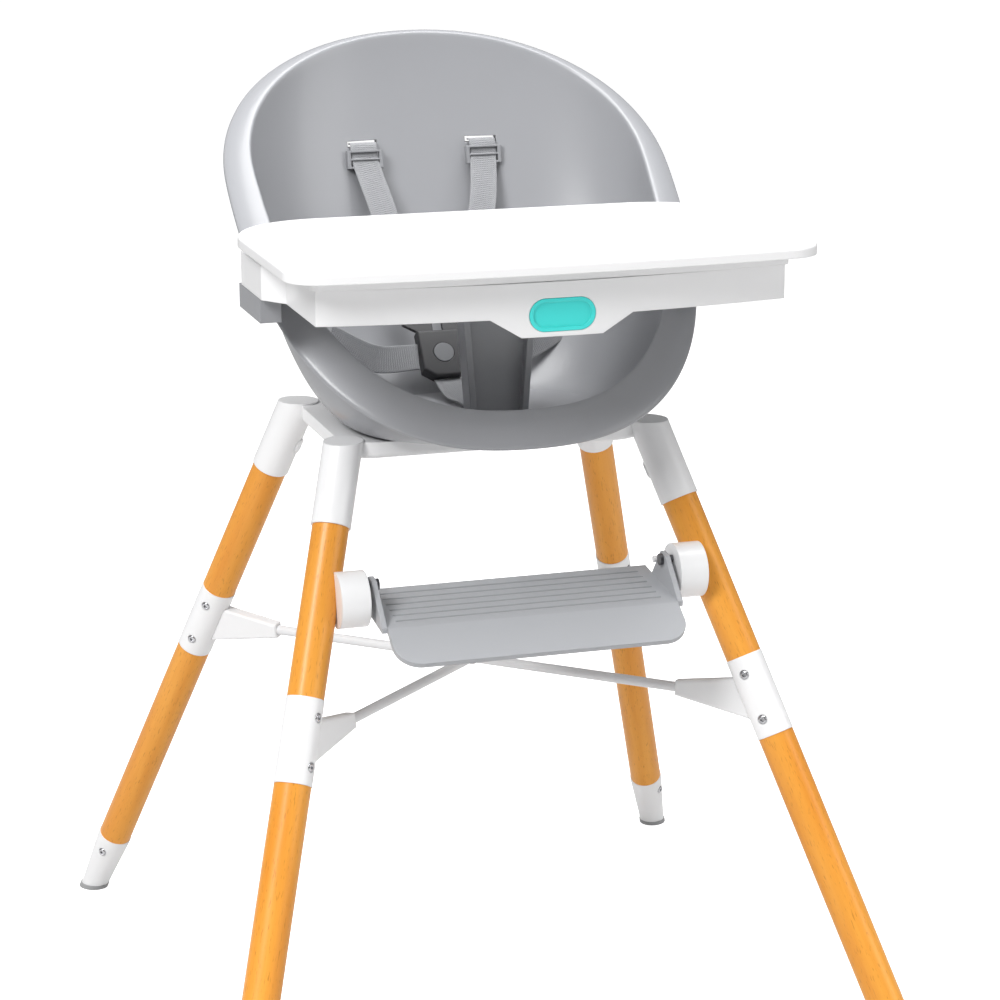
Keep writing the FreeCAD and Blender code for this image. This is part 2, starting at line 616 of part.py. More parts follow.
class SeatForm:
    """The shape of the bucket seat: rings of points from the floor, over the rim, to the underside."""

    def __init__(self):
        self.slope = size("rim_slope")
        self.tilt_length = math.hypot(1, self.slope)
        self.normal = Vector(0, -self.slope, 1) / self.tilt_length

    def backness(self, angle):
        """0 at the front of a ring and 1 at its back."""
        return ((1 + math.sin(angle)) / 2) ** 1.5

    def band(self, angle):
        """Width of the rolled rim, wide in front and narrow at the top of the back."""
        front = size("rim_band_front")
        return front + (size("rim_band_back") - front) * self.backness(angle)

    def on_rim(self, angle, inset, rise):
        """A point inside the rim's outer edge by an inset and above the rim plane by a rise."""
        power = size("rim_back_power") if math.sin(angle) > 0 else size("rim_front_power")
        reach = size("rim_back_reach") if math.sin(angle) > 0 else size("rim_front_reach")
        x = (size("rim_half_width") - inset) * signed_power(math.cos(angle), 2 / power)
        y = (reach - inset / self.tilt_length) * signed_power(math.sin(angle), 2 / power)
        y = y + size("rim_centre_y")
        return Vector(x, y, size("rim_height") + self.slope * y) + self.normal * rise

    def crown(self, share):
        """Rise of the rolled rim at a share of its width from the outer edge."""
        return size("rim_crown") * (1 - (1 - share) ** 2)

    def on_floor(self, angle, grow, height):
        """A point of the floor's outline, grown outwards."""
        x = (size("floor_half_width") + grow) * signed_power(math.cos(angle), 0.85)
        y = (size("floor_half_depth") + grow) * signed_power(math.sin(angle), 0.85)
        return Vector(x, y + size("floor_centre_y"), height)

    def on_wall(self, angle, degrees, low, high):
        """A point of the curved wall between the floor and the rim."""
        front = size("belly_power_front")
        power = front + (size("belly_power_back") - front) * self.backness(angle)
        out = math.cos(math.radians(degrees)) ** (2 / power)
        up = 1 - math.sin(math.radians(degrees)) ** (2 / power)
        return Vector(low.x + (high.x - low.x) * out, low.y + (high.y - low.y) * out,
                      low.z + (high.z - low.z) * up)

    def station(self, angle):
        """All the points of the section at one angle, floor to rim to underside."""
        band = self.band(angle)
        wall = size("seat_wall")
        edge = size("rim_edge")
        floor = self.on_floor(angle, 0, size("seat_bottom_z") + size("seat_floor_thickness"))
        crest = self.on_rim(angle, band, self.crown(1))
        points = [self.on_wall(angle, degrees, floor, crest) for degrees in WALL_STEPS]
        points += [self.on_rim(angle, band * share, self.crown(share)) for share in BAND_STEPS]
        points += [self.on_rim(angle, 0, 0), self.on_rim(angle, 0, -edge / 2),
                   self.on_rim(angle, edge / 3, -edge)]
        inner = band - wall
        points += [self.on_rim(angle, inner * share, self.crown(inner * share / band) - edge)
                   for share in (0.45, 0.8)]
        under = self.on_rim(angle, inner, self.crown(inner / band) - edge)
        bottom = self.on_floor(angle, wall, size("seat_bottom_z"))
        points += [self.on_wall(angle, degrees, bottom, under) for degrees in reversed(WALL_STEPS)]
        return points

    def solid(self):
        """The closed shell: one smooth skin and two flat faces."""
        angles = [2 * math.pi * i / RING_POINTS for i in range(RING_POINTS)]
        poles = [self.station(angle) for angle in angles]
        count = len(poles[0])
        skin = Part.BSplineSurface()
        skin.buildFromPolesMultsKnots(
            poles, [1] * (RING_POINTS + 1), [4] + [1] * (count - 4) + [4],
            list(range(RING_POINTS + 1)), list(range(count - 2)), True, False, 3, 3)
        face = skin.toShape()
        rings = [edge for edge in face.Edges if edge.BoundBox.ZLength < 1e-3]
        caps = [Part.Face(Part.Wire([edge])) for edge in rings]
        shell = Part.Shell([face] + caps)
        shell.sewShape()
        solid = Part.Solid(shell)
        if solid.Volume < 0:
            solid.reverse()
        return solid


def slot_box(name, centre, width, depth, height):
    """A cutting block about a point."""
    corner = centre - Vector(width, depth, height) / 2
    block = primitive("Box", name, Placement(corner, Rotation()))
    block.Length = width
    block.Width = depth
    block.Height = height
    return block


plain_seat = made_of("plain_seat", SeatForm().solid())


def back_surface(x, z):
    """How far back the inside of the seat is at a place."""
    probe = Part.makeLine(Vector(x, 0, z), Vector(x, 400, z))
    return min(vertex.Y for vertex in probe.common(plain_seat.Shape).Vertexes)


def side_surface(y, z):
    """How far out the inside of the seat is at a place."""
    probe = Part.makeLine(Vector(0, y, z), Vector(400, y, z))
    return min(vertex.X for vertex in probe.common(plain_seat.Shape).Vertexes)


SLOT_ABOVE_ADJUSTER = 14
SLOT_HEIGHT = 6
strap_slot_z = size("adjuster_z") + SLOT_ABOVE_ADJUSTER
strap_slot_y = back_surface(size("adjuster_x"), strap_slot_z)
slots = [slot_box(f"slot_{side}", Vector(sign * size("adjuster_x"), strap_slot_y, strap_slot_z),
                  size("strap_width") + 4, 60, SLOT_HEIGHT) for side, sign in SIDES.items()]
CROTCH_SLOT_Y = -20
slots.append(slot_box("slot_crotch", Vector(0, CROTCH_SLOT_Y, size("seat_bottom_z")),
                      size("strap_width") + 4, SLOT_HEIGHT, 4 * size("seat_floor_thickness")))
seat = keep(difference("seat_shell", plain_seat, slots), "seat_shell")

# ---------------------------------------------------------------- sockets and their buttons

RELEASE_DEPTH = 6.2  # pocket of a push button in the sleeve


def build_socket(name, line):
    """A sleeve under the seat with a pocket for its push button."""
    body = new_body(f"socket_body_{name}", line.frame)
    outer = "{socket_diameter} / 2"
    above = "({socket_top_z} - {leg_top_z}) * 1.5"
    depth = "({tenon_length} + {clearance})"
    turned(body, [(BORE, "0"), (outer, "0"), (outer, above), ("0", above), ("0", depth), (BORE, depth)])
    opening = new_sketch(body, "XZ", f"release_opening_{name}", f"{outer} + {{clearance}}")
    draw_stadium(opening, "0", "{release_height}", "({release_length} - {release_width}) / 2",
                 "{release_width} / 2 + {clearance}", upright=True)
    pocket(body, opening, f"{RELEASE_DEPTH}")
    sky_corner = line.at_height(size("socket_top_z")) - Vector(100, 100, 0)
    sky = primitive("Box", f"sky_{name}", Placement(sky_corner, Rotation()),
                    Length="200", Width="200", Height="200")
    keep(difference(f"leg_socket_{name}", body, [sky, seat]), f"leg_socket_{name}")


def build_release(name, line):
    """The push button that frees a leg from its sleeve."""
    body = new_body(f"release_body_{name}", line.frame)
    face = new_sketch(body, "XZ", f"release_face_{name}", "{socket_diameter} / 2 + {release_proud}")
    draw_stadium(face, "0", "{release_height}", "({release_length} - {release_width}) / 2",
                 "{release_width} / 2", upright=True)
    pad(body, face, f"{RELEASE_DEPTH} - {{release_travel}} - {{clearance}}", reverse=True)
    keep(body, f"leg_release_button_{name}")


for leg_name, leg_line in legs.items():
    build_socket(leg_name, leg_line)
    build_release(leg_name, leg_line)

# ---------------------------------------------------------------- base plate

plate_body = new_body("plate_body")
plate_sketch = new_sketch(plate_body, "XY", "plate_outline", "{plate_bottom_z}")
draw_polygon(plate_sketch, [("-{plate_half_x}", "-{plate_half_y}"), ("{plate_half_x}", "-{plate_half_y}"),
                            ("{plate_half_x}", "{plate_half_y}"), ("-{plate_half_x}", "{plate_half_y}")])
plate_pad = pad(plate_body, plate_sketch, "{seat_bottom_z} - {plate_bottom_z}")
plate_round = rounded(plate_body, plate_pad, "{plate_corner}", is_upright)
rounded(plate_body, plate_round, "{plate_edge_round}",
        lambda edge: edge.BoundBox.ZMax < size("plate_bottom_z") + 0.01)
SCREW_SPOTS = [(x, y) for x in (-1, 1) for y in (-1, 1)]
for number, (sign_x, sign_y) in enumerate(SCREW_SPOTS):
    hole = new_sketch(plate_body, "XY", f"seat_screw_hole_{number}", "{plate_bottom_z}")
    draw_circle(hole, f"{sign_x} * {{seat_screw_x}}", f"{sign_y} * {{seat_screw_y}}",
                "{seat_screw_diameter} / 2 + {fit_gap}")
    pocket(plate_body, hole, "{seat_bottom_z} - {plate_bottom_z} + 1", reverse=True)
strap_way = new_sketch(plate_body, "XY", "strap_way", "{plate_bottom_z}")
draw_polygon(strap_way, [("-{strap_width}", f"{CROTCH_SLOT_Y} - 12"),
                         ("{strap_width}", f"{CROTCH_SLOT_Y} - 12"),
                         ("{strap_width}", f"{CROTCH_SLOT_Y} + 12"),
                         ("-{strap_width}", f"{CROTCH_SLOT_Y} + 12")])
pocket(plate_body, strap_way, "{seat_bottom_z} - {plate_bottom_z} + 1", reverse=True)
sleeves = [primitive("Cylinder", f"sleeve_space_{leg_name}", leg_line.frame, Radius="{socket_diameter} / 2",
                     Height="({socket_top_z} - {leg_top_z}) * 1.5") for leg_name, leg_line in legs.items()]
keep(difference("base_plate", plate_body, sleeves), "base_plate")


def upright_screw(name, x, y):
    """A screw from below, its head under the base plate, that bites into the seat floor."""
    body = new_body(name, Placement(Vector(x, y, size("plate_bottom_z")), Rotation()))
    shank = "{seat_screw_diameter} / 2"
    reach = "{seat_bottom_z} - {plate_bottom_z} + {seat_floor_thickness} * 0.7"
    turned(body, [("0", "-{bolt_head_height}"), ("{bolt_head_diameter} / 2", "-{bolt_head_height}"),
                  ("{bolt_head_diameter} / 2 + 1", "0"), (shank, "0"), (shank, reach), ("0", reach)])
    return body


group("seat_screws", [upright_screw(f"seat_screw_{i}", sx * size("seat_screw_x"), sy * size("seat_screw_y"))
                      for i, (sx, sy) in enumerate(SCREW_SPOTS)])

# ---------------------------------------------------------------- brace

LAP_LENGTH = 1.6  # length of the half-lap over the rod diameter


def build_bracket(name, line):
    """A tapered arm from the coupler towards the middle, with a socket for its rod."""
    origin = line.at_height(size("brace_z"))
    way = line.brace_way()
    lean = (line.up - way * line.up.dot(way)).normalize()
    body = new_body(f"bracket_body_{name}", toward(origin, lean, way))
    side = new_sketch(body, "XZ", f"bracket_side_{name}")
    inside = "{coupler_diameter} / 4"
    draw_polygon(side, [(inside, "-{bracket_root_height} / 2"),
                        ("{bracket_reach}", "-{bracket_tip_height} / 2"),
                        ("{bracket_reach}", "{bracket_tip_height} / 2"),
                        (inside, "{bracket_root_height} / 2")])
    arm = pad(body, side, "{bracket_thickness}", both_ways=True)
    tip = size("bracket_reach") - 0.01
    rounded(body, arm, "{bracket_tip_height} / 5", lambda edge: abs(edge.BoundBox.YLength) < 0.01
            and edge.BoundBox.XMax > tip)
    socket = new_sketch(body, "YZ", f"rod_socket_{name}", "{bracket_reach}")
    draw_circle(socket, "0", "0", "{brace_rod_diameter} / 2 + {fit_gap}")
    pocket(body, socket, "{rod_insertion}")
    sleeve = primitive("Cylinder", f"coupler_space_{name}",
                       line.placed(-size("upper_wood_length") - size("coupler_length")),
                       Radius="{coupler_diameter} / 2", Height="{coupler_length}")
    keep(difference(f"brace_bracket_{name}", body, [sleeve]), f"brace_bracket_{name}")


for leg_name, leg_line in legs.items():
    build_bracket(leg_name, leg_line)


def build_rod(label, line, keeps_top):
    """One of the two crossed rods, halved where they cross."""
    level = line.at_height(size("brace_z"))
    half = math.hypot(level.x, level.y) - size("bracket_reach") + size("rod_insertion") - size("clearance")
    middle = Vector(0, 0, size("brace_z"))
    way = line.brace_way()
    frame = toward(middle - way * half, way, Vector(0, 0, 1))
    rod = primitive("Cylinder", f"{label}_rod", frame, Radius="{brace_rod_diameter} / 2")
    rod.Height = 2 * half
    diameter = size("brace_rod_diameter")
    lap_length = diameter * LAP_LENGTH
    turn = math.degrees(math.atan2(way.y, way.x))
    corner = Rotation(Vector(0, 0, 1), turn).multVec(Vector(-lap_length / 2, -diameter, 0))
    drop = -diameter if keeps_top else 0
    lap = primitive("Box", f"{label}_lap", Placement(middle + corner + Vector(0, 0, drop),
                                                      Rotation(Vector(0, 0, 1), turn)),
                    Width="{brace_rod_diameter} * 2", Height="{brace_rod_diameter}")
    lap.Length = lap_length
    hole = primitive("Cylinder", f"{label}_hole", Placement(middle - Vector(0, 0, 10), Rotation()),
                     Radius="{bolt_diameter} / 2 - 0.5", Height="20")
    return keep(difference(label, rod, [lap, hole]), label)


build_rod("brace_rod_1", legs["fl"], True)
build_rod("brace_rod_2", legs["fr"], False)
rivet = new_body("rivet_body", Placement(Vector(0, 0, size("brace_z")), Rotation()))
rivet_shank = "{bolt_diameter} / 2 - 0.5 - {fit_gap}"
rivet_head = "{bolt_head_diameter} / 2"
top_level = "{brace_rod_diameter} / 2"
turned(rivet, [("0", f"-{top_level} - 2"), (rivet_head, f"-{top_level} - 1"), (rivet_head, f"-{top_level}"),
               (rivet_shank, f"-{top_level}"), (rivet_shank, top_level), (rivet_head, top_level),
               (rivet_head, f"{top_level} + 1"), ("0", f"{top_level} + 2")])
keep(rivet, "brace_rivet")

# ---------------------------------------------------------------- tray rails on the seat

ARM_WALL_IN = "{arm_inner_x} + {tray_wall} + {clearance}"
ARM_WALL_OUT = "{arm_outer_x} - {tray_wall} - {clearance}"
RAIL_TOP = "{tray_bottom_z} - {clearance}"
ROOT_INNER_X = 203
ROOT_FRONT_Y = -62


def build_rail(side, sign):
    """A rail beside the rim with a guide rib and a groove for the latch tip."""
    body = new_body(f"rail_body_{side}")
    block = new_sketch(body, "XY", f"rail_block_{side}", f"{RAIL_TOP} - {{rail_height}}")
    inner = f"{sign} * ({{arm_inner_x}} - 0.5)"
    outer = f"{sign} * {{arm_outer_x}}"
    draw_polygon(block, [(outer, "{rail_front_y}"), (outer, "{rail_rear_y}"),
                         (f"{sign} * {ROOT_INNER_X}", "{rail_rear_y}"),
                         (f"{sign} * {ROOT_INNER_X}", f"{ROOT_FRONT_Y}"),
                         (inner, f"{ROOT_FRONT_Y} - 16"), (inner, "{rail_front_y}")])
    pad(body, block, "{rail_height}")
    rib = new_sketch(body, "XY", f"rail_rib_{side}", RAIL_TOP)
    rib_in = f"{sign} * ({ARM_WALL_IN})"
    rib_out = f"{sign} * ({ARM_WALL_OUT})"
    rib_end = "{arm_rear_y} - {tray_wall} - {clearance}"
    draw_polygon(rib, [(rib_in, "{rail_front_y}"), (rib_out, "{rail_front_y}"), (rib_out, rib_end),
                       (rib_in, rib_end)])
    pad(body, rib, "{rail_rib_height}")
    groove = new_sketch(body, "XZ", f"rail_groove_{side}")
    groove_x = f"{sign} * ({ARM_WALL_IN} + {{rail_groove_depth}})"
    low = "{latch_z} - {latch_thickness} / 2 - {clearance}"
    high = "{latch_z} + {latch_thickness} / 2 + {clearance}"
    draw_polygon(groove, [(f"{sign} * {{arm_inner_x}}", low), (groove_x, low), (groove_x, high),
                          (f"{sign} * {{arm_inner_x}}", high)])
    pocket(body, groove, "600", both_ways=True)
    keep(difference(f"tray_rail_{side}", body, [seat]), f"tray_rail_{side}")


for side_name, side_sign in SIDES.items():
    build_rail(side_name, side_sign)
doc.recompute()

# ---------------------------------------------------------------- crotch post

def tapered_block(name, half_bottom, half_top, depth, front_y):
    """A block on the seat floor that widens upwards."""
    floor_z = size("seat_bottom_z") + size("seat_floor_thickness")
    block = doc.addObject("Part::Wedge", name)
    block.Placement = Placement(Vector(0, front_y + depth, floor_z), Rotation(Vector(1, 0, 0), 90))
    bind(block, Xmin=f"-({half_bottom})", Xmax=half_bottom, X2min=f"-({half_top})", X2max=half_top,
         Ymax="{post_top_z} - {seat_bottom_z} - {seat_floor_thickness}")
    block.Ymin = 0
    for low, high in (("Zmin", "Zmax"), ("Z2min", "Z2max")):
        setattr(block, low, 0)
        setattr(block, high, depth)
    return block


post_front = size("post_y") - size("post_depth") / 2
recess_depth = (size("post_depth") - size("post_web")) / 2
post_block = tapered_block("post_block", "{post_half_bottom}", "{post_half_top}", size("post_depth"),
                           post_front)
recesses = [tapered_block(f"post_recess_{spot}", "{post_half_bottom} - {post_rib}",
                          "{post_half_top} - {post_rib}",
                          recess_depth + 1, front)
            for spot, front in (("front", post_front - 1),
                                ("back", post_front + size("post_depth") - recess_depth))]
keep(difference("crotch_post", post_block, recesses), "crotch_post")

# ---------------------------------------------------------------- tray body

LUG_WALL = 3
BAR_ARM_X = 200  # middle of the part of a latch bar that runs back to its tip
BAR_FRONT_Y = -248
BAR_LUG_X = 118
PIN_START_X = 36
CAM_LEVEL = 743  # underside of the cam plate
CAM_THICKNESS = 2.4


def inset_plate(sketch, inset, corner_bow="{tray_bow}"):
    """The tray body's outline drawn inwards by an inset."""
    draw_bowed(sketch, f"{{tray_half_width}} - {inset}", f"{{tray_front_y}} + {inset}", corner_bow,
               f"{{tray_rear_y}} - {inset}")


def arm_outline(sketch, sign, inset, rear="{arm_rear_y}"):
    """One side arm seen from above, drawn inwards by an inset, with its rear end at an expression."""
    join = "{tray_half_width} - 20"
    draw_polygon(sketch, [
        (f"{sign} * ({join})", f"{{arm_front_y}} - 18 + {inset}"),
        (f"{sign} * ({{tray_half_width}} - {inset} / 2)", f"{{arm_front_y}} - 18 + {inset}"),
        (f"{sign} * ({{arm_outer_x}} - {inset})", f"{{arm_front_y}} + 6 + {inset}"),
        (f"{sign} * ({{arm_outer_x}} - {inset})", rear),
        (f"{sign} * ({{arm_inner_x}} + {inset})", rear),
        (f"{sign} * ({{arm_inner_x}} + {inset})", f"{{tray_rear_y}} - {inset}"),
        (f"{sign} * ({join})", f"{{tray_rear_y}} - {inset}")])


def block_on(body, name, low_x, high_x, low_y, high_y, from_z, to_z):
    """An upright block of a body, all its sides expressions."""
    sketch = new_sketch(body, "XY", name, from_z)
    draw_polygon(sketch, [(low_x, low_y), (high_x, low_y), (high_x, high_y), (low_x, high_y)])
    return pad(body, sketch, f"{to_z} - ({from_z})")


tray = new_body("tray_body")
deck = new_sketch(tray, "XY", "tray_deck", "{tray_bottom_z}")
inset_plate(deck, "0")
tray_height = "{tray_top_z} - {tray_bottom_z}"
pad(tray, deck, tray_height)
for side_name, side_sign in SIDES.items():
    arm = new_sketch(tray, "XY", f"tray_arm_{side_name}", "{tray_bottom_z}")
    arm_outline(arm, side_sign, "0")
    pad(tray, arm, tray_height)
chin_half = "({tray_chin_half} + {tray_chin_slope})"
bow_radius = "(({tray_half_width})^2 + ({tray_bow})^2) / (2 * {tray_bow})"
chin_bow = f"{bow_radius} - sqrt(({bow_radius})^2 - {chin_half}^2)"
chin = new_sketch(tray, "XY", "tray_chin", "{tray_bottom_z} - {tray_chin_drop}")
draw_bowed(chin, chin_half, "{tray_front_y}", chin_bow, "{tray_front_y} + {tray_chin_depth}")
pad(tray, chin, "{tray_chin_drop}")
chin_low = "{tray_bottom_z} - {tray_chin_drop}"
for side_name, side_sign in SIDES.items():
    flank = new_sketch(tray, "XZ", f"chin_flank_{side_name}")
    draw_polygon(flank, [(f"{side_sign} * {{tray_chin_half}}", chin_low),
                         (f"{side_sign} * {chin_half}", "{tray_bottom_z}"),
                         (f"{side_sign} * ({chin_half} + 5)", "{tray_bottom_z} - 5"),
                         (f"{side_sign} * ({chin_half} + 5)", f"{chin_low} - 5"),
                         (f"{side_sign} * {{tray_chin_half}}", f"{chin_low} - 5")])
    pocket(tray, flank, "900", both_ways=True)

inside = new_sketch(tray, "XY", "tray_inside", "{tray_bottom_z}")
inset_plate(inside, "{tray_wall}")
pocket(tray, inside, f"{tray_height} - {{tray_wall}}", reverse=True)
for side_name, side_sign in SIDES.items():
    hollow = new_sketch(tray, "XY", f"arm_inside_{side_name}", "{tray_bottom_z}")
    arm_outline(hollow, side_sign, "{tray_wall}", "{arm_rear_y} + 1")
    pocket(tray, hollow, f"{tray_height} - {{tray_wall}}", reverse=True)
chin_inside = new_sketch(tray, "XZ", "chin_inside", "-({tray_front_y} + {tray_chin_depth})")
wall = "{tray_wall}"
draw_polygon(chin_inside, [(f"-{{tray_chin_half}} + {wall} / 2", f"{chin_low} + {wall}"),
                           (f"{{tray_chin_half}} - {wall} / 2", f"{chin_low} + {wall}"),
                           (f"{chin_half} - {wall} * 2", "{tray_bottom_z}"),
                           (f"{chin_half} - {wall} * 2", "{tray_bottom_z} + 3"),
                           (f"-{chin_half} + {wall} * 2", "{tray_bottom_z} + 3"),
                           (f"-{chin_half} + {wall} * 2", "{tray_bottom_z}")])
pocket(tray, chin_inside, f"{{tray_chin_depth}} - {wall}", reverse=True)
button_hole = new_sketch(tray, "XZ", "button_hole", "-{tray_front_y} + 2")
draw_stadium(button_hole, "0", "{button_z}", "({button_length} - {button_height}) / 2",
             "{button_height} / 2 + {clearance}")
pocket(tray, button_hole, "{tray_wall} + 4")

bar_low = "{latch_z} - {latch_thickness} / 2"
bar_high = "{latch_z} + {latch_thickness} / 2"
for side_name, side_sign in SIDES.items():
    lugs = ((f"front_{side_name}", f"{side_sign} * {BAR_LUG_X} - 4", f"{side_sign} * {BAR_LUG_X} + 4",
             f"{BAR_FRONT_Y} - {{latch_width}} / 2 - {LUG_WALL}",
             f"{BAR_FRONT_Y} + {{latch_width}} / 2 + {LUG_WALL}"),
            (f"rear_{side_name}", f"{side_sign} * ({BAR_ARM_X} + 9)", f"{side_sign} * ({BAR_ARM_X} + 13)",
             f"{{latch_y}} - {{latch_width}} / 2 - {LUG_WALL}",
             f"{{latch_y}} + {{latch_width}} / 2 + {LUG_WALL}"))
    for lug_name, low_x, high_x, low_y, high_y in lugs:
        block_on(tray, f"lug_{lug_name}", low_x, high_x, low_y, high_y, f"{bar_low} - {LUG_WALL}",
                 "{tray_top_z} - 1")
for way_name, way_y in (("front", f"{BAR_FRONT_Y}"), ("rear", "{latch_y}")):
    way = new_sketch(tray, "YZ", f"bar_way_{way_name}")
    low_y = f"{way_y} - {{latch_width}} / 2 - {{clearance}}"
    high_y = f"{way_y} + {{latch_width}} / 2 + {{clearance}}"
    draw_polygon(way, [(low_y, f"{bar_low} - {{clearance}}"), (high_y, f"{bar_low} - {{clearance}}"),
                       (high_y, f"{bar_high} + {{clearance}}"), (low_y, f"{bar_high} + {{clearance}}")])
    reach = f"{BAR_LUG_X} * 2 + 20" if way_name == "front" else f"{BAR_ARM_X} * 2 + 28"
    pocket(tray, way, reach, both_ways=True)
keep(tray, "tray_body")

# ---------------------------------------------------------------- tray liner

LINER_MIDDLE_Y = (size("liner_front_y") + size("liner_rear_y")) / 2


def is_rear_corner(edge):
    """Whether an edge of the liner is an upright one at its rear."""
    return is_upright(edge) and edge.BoundBox.YMin > LINER_MIDDLE_Y


def is_front_corner(edge):
    """Whether an edge of the liner is an upright one at its front."""
    return is_upright(edge) and edge.BoundBox.YMin < LINER_MIDDLE_Y


liner = new_body("liner_body")
skirt = new_sketch(liner, "XY", "liner_skirt", "{tray_top_z} + {clearance}")
draw_bowed(skirt, "{liner_half_width} - {liner_overhang}", "{liner_front_y} + {liner_overhang}",
           "{liner_bow}",
           "{liner_rear_y} - {liner_overhang}")
skirt_pad = pad(liner, skirt, "{liner_top_z} - {liner_edge} - {tray_top_z} - {clearance}")
skirt_round = rounded(liner, skirt_pad, "{liner_rear_corner} - {liner_overhang}",
                      is_rear_corner)
rounded(liner, skirt_round, "{liner_front_corner} - {liner_overhang}",
        is_front_corner)


def liner_outline(name, inset, level):
    """A block with the liner's outline drawn inwards, rising from a level to above the rim."""
    body = new_body(f"{name}_body")
    sketch = new_sketch(body, "XY", f"{name}_outline", level)
    draw_bowed(sketch, f"{{liner_half_width}} - {inset}", f"{{liner_front_y}} + {inset}", "{liner_bow}",
               f"{{liner_rear_y}} - {inset}")
    block = pad(body, sketch, f"{{liner_top_z}} - ({level})" if name == "liner_rim" else "30")
    rear_round = rounded(body, block, f"{{liner_rear_corner}} - {inset}", is_rear_corner)
    rounded(body, rear_round, f"{{liner_front_corner}} - {inset}", is_front_corner)
    return body


rim_block = liner_outline("liner_rim", "0", "{liner_top_z} - {liner_edge}")
edge_top = size("liner_top_z") - 0.01
rounded(rim_block, rim_block.Tip, "{liner_edge} * 0.3",
        lambda edge: edge.BoundBox.ZMin > edge_top)
basin_step = liner_outline("liner_step", "{liner_border}", "{liner_top_z} - {liner_edge} + 3")
basin = liner_outline("liner_basin", "({liner_overhang} + 4)", "{tray_top_z} + {clearance} + {liner_floor}")
whole_liner = union("liner_whole", [liner, rim_block])
keep(difference("tray_liner", whole_liner, [basin_step, basin]), "tray_liner")

# ---------------------------------------------------------------- tray button, cam plate and latch bars

BUTTON_TAB = 4
TAB_SETBACK = 0.7  # the front wall of the tray curves back beside the button
button = new_body("button_body")
button_face = new_sketch(button, "XZ", "button_face", "-{tray_front_y}")
draw_stadium(button_face, "0", "{button_z}", "({button_length} - {button_height}) / 2",
             "{button_height} / 2")
pad(button, button_face, "{button_depth}", reverse=True)
dish = new_sketch(button, "XZ", "button_dish", "-{tray_front_y}")
draw_stadium(dish, "0", "{button_z}", "({button_length} - {button_height}) / 2",
             "{button_height} / 2 - 3.5")
pocket(button, dish, "{button_dish}")
tabs = new_sketch(button, "XZ", "button_tabs",
                  f"-({{tray_front_y}} + {{tray_wall}} + {{clearance}} + {TAB_SETBACK})")
half_tab = f"{{button_length}} / 2 + {BUTTON_TAB}"
draw_polygon(tabs, [(f"-({half_tab})", "{button_z} - 6"), (half_tab, "{button_z} - 6"),
                    (half_tab, "{button_z} + 6"), (f"-({half_tab})", "{button_z} + 6")])
pad(button, tabs, "3", reverse=True)
keep(button, "tray_button")

PIN_DIAMETER = 4
cam = new_body("cam_body")
cam_sketch = new_sketch(cam, "XY", "cam_outline", f"{CAM_LEVEL}")
cam_front = "{tray_front_y} + {button_depth}"
draw_polygon(cam_sketch, [("-22", cam_front), ("22", cam_front), ("46", f"{BAR_FRONT_Y} - 14"),
                          ("46", f"{BAR_FRONT_Y} + 10"), ("-46", f"{BAR_FRONT_Y} + 10"),
                          ("-46", f"{BAR_FRONT_Y} - 14")])
pad(cam, cam_sketch, f"{CAM_THICKNESS}")
run = Vector(-size("latch_travel"), -size("button_travel"), 0)
along = Vector(run).normalize()
aside = Vector(-along.y, along.x, 0)
reach = PIN_DIAMETER / 2 + size("clearance")
start = Vector(PIN_START_X, BAR_FRONT_Y, 0)
slot_corners = [start - along * reach + aside * reach, start + run + along * reach + aside * reach,
                start + run + along * reach - aside * reach, start - along * reach - aside * reach]
for side_name, side_sign in SIDES.items():
    cam_slot = new_sketch(cam, "XY", f"cam_slot_{side_name}", f"{CAM_LEVEL}")
    draw_polygon(cam_slot, [(f"{side_sign * corner.x}", f"{corner.y}") for corner in slot_corners])
    pocket(cam, cam_slot, f"{CAM_THICKNESS} + 1", reverse=True)
keep(cam, "cam_plate")


def build_latch(side, sign):
    """A bar from the cam plate to the rail groove, with a pin in the cam slot."""
    body = new_body(f"latch_body_{side}")
    plan = new_sketch(body, "XY", f"latch_plan_{side}", bar_low)
    half = "{latch_width} / 2"
    inner_end = f"{sign} * ({PIN_START_X} - {{latch_width}} / 2)"
    arm_in = f"{sign} * ({BAR_ARM_X} - {half})"
    arm_out = f"{sign} * ({BAR_ARM_X} + {half})"
    tip = f"{sign} * ({ARM_WALL_IN} + {{rail_groove_depth}} - 1)"
    draw_polygon(plan, [(inner_end, f"{BAR_FRONT_Y} - {half}"), (arm_out, f"{BAR_FRONT_Y} - {half}"),
                        (arm_out, f"{{latch_y}} - {half}"), (tip, f"{{latch_y}} - {half}"),
                        (tip, f"{{latch_y}} + {half}"), (arm_in, f"{{latch_y}} + {half}"),
                        (arm_in, f"{BAR_FRONT_Y} + {half}"), (inner_end, f"{BAR_FRONT_Y} + {half}")])
    pad(body, plan, "{latch_thickness}")
    pin = new_sketch(body, "XY", f"latch_pin_{side}", bar_low)
    draw_circle(pin, f"{sign} * {PIN_START_X}", f"{BAR_FRONT_Y}", f"{PIN_DIAMETER} / 2")
    pad(body, pin, f"{bar_low} - {CAM_LEVEL}", reverse=True)
    keep(body, f"latch_bar_{side}")


for side_name, side_sign in SIDES.items():
    build_latch(side_name, side_sign)

# ---------------------------------------------------------------- footrest

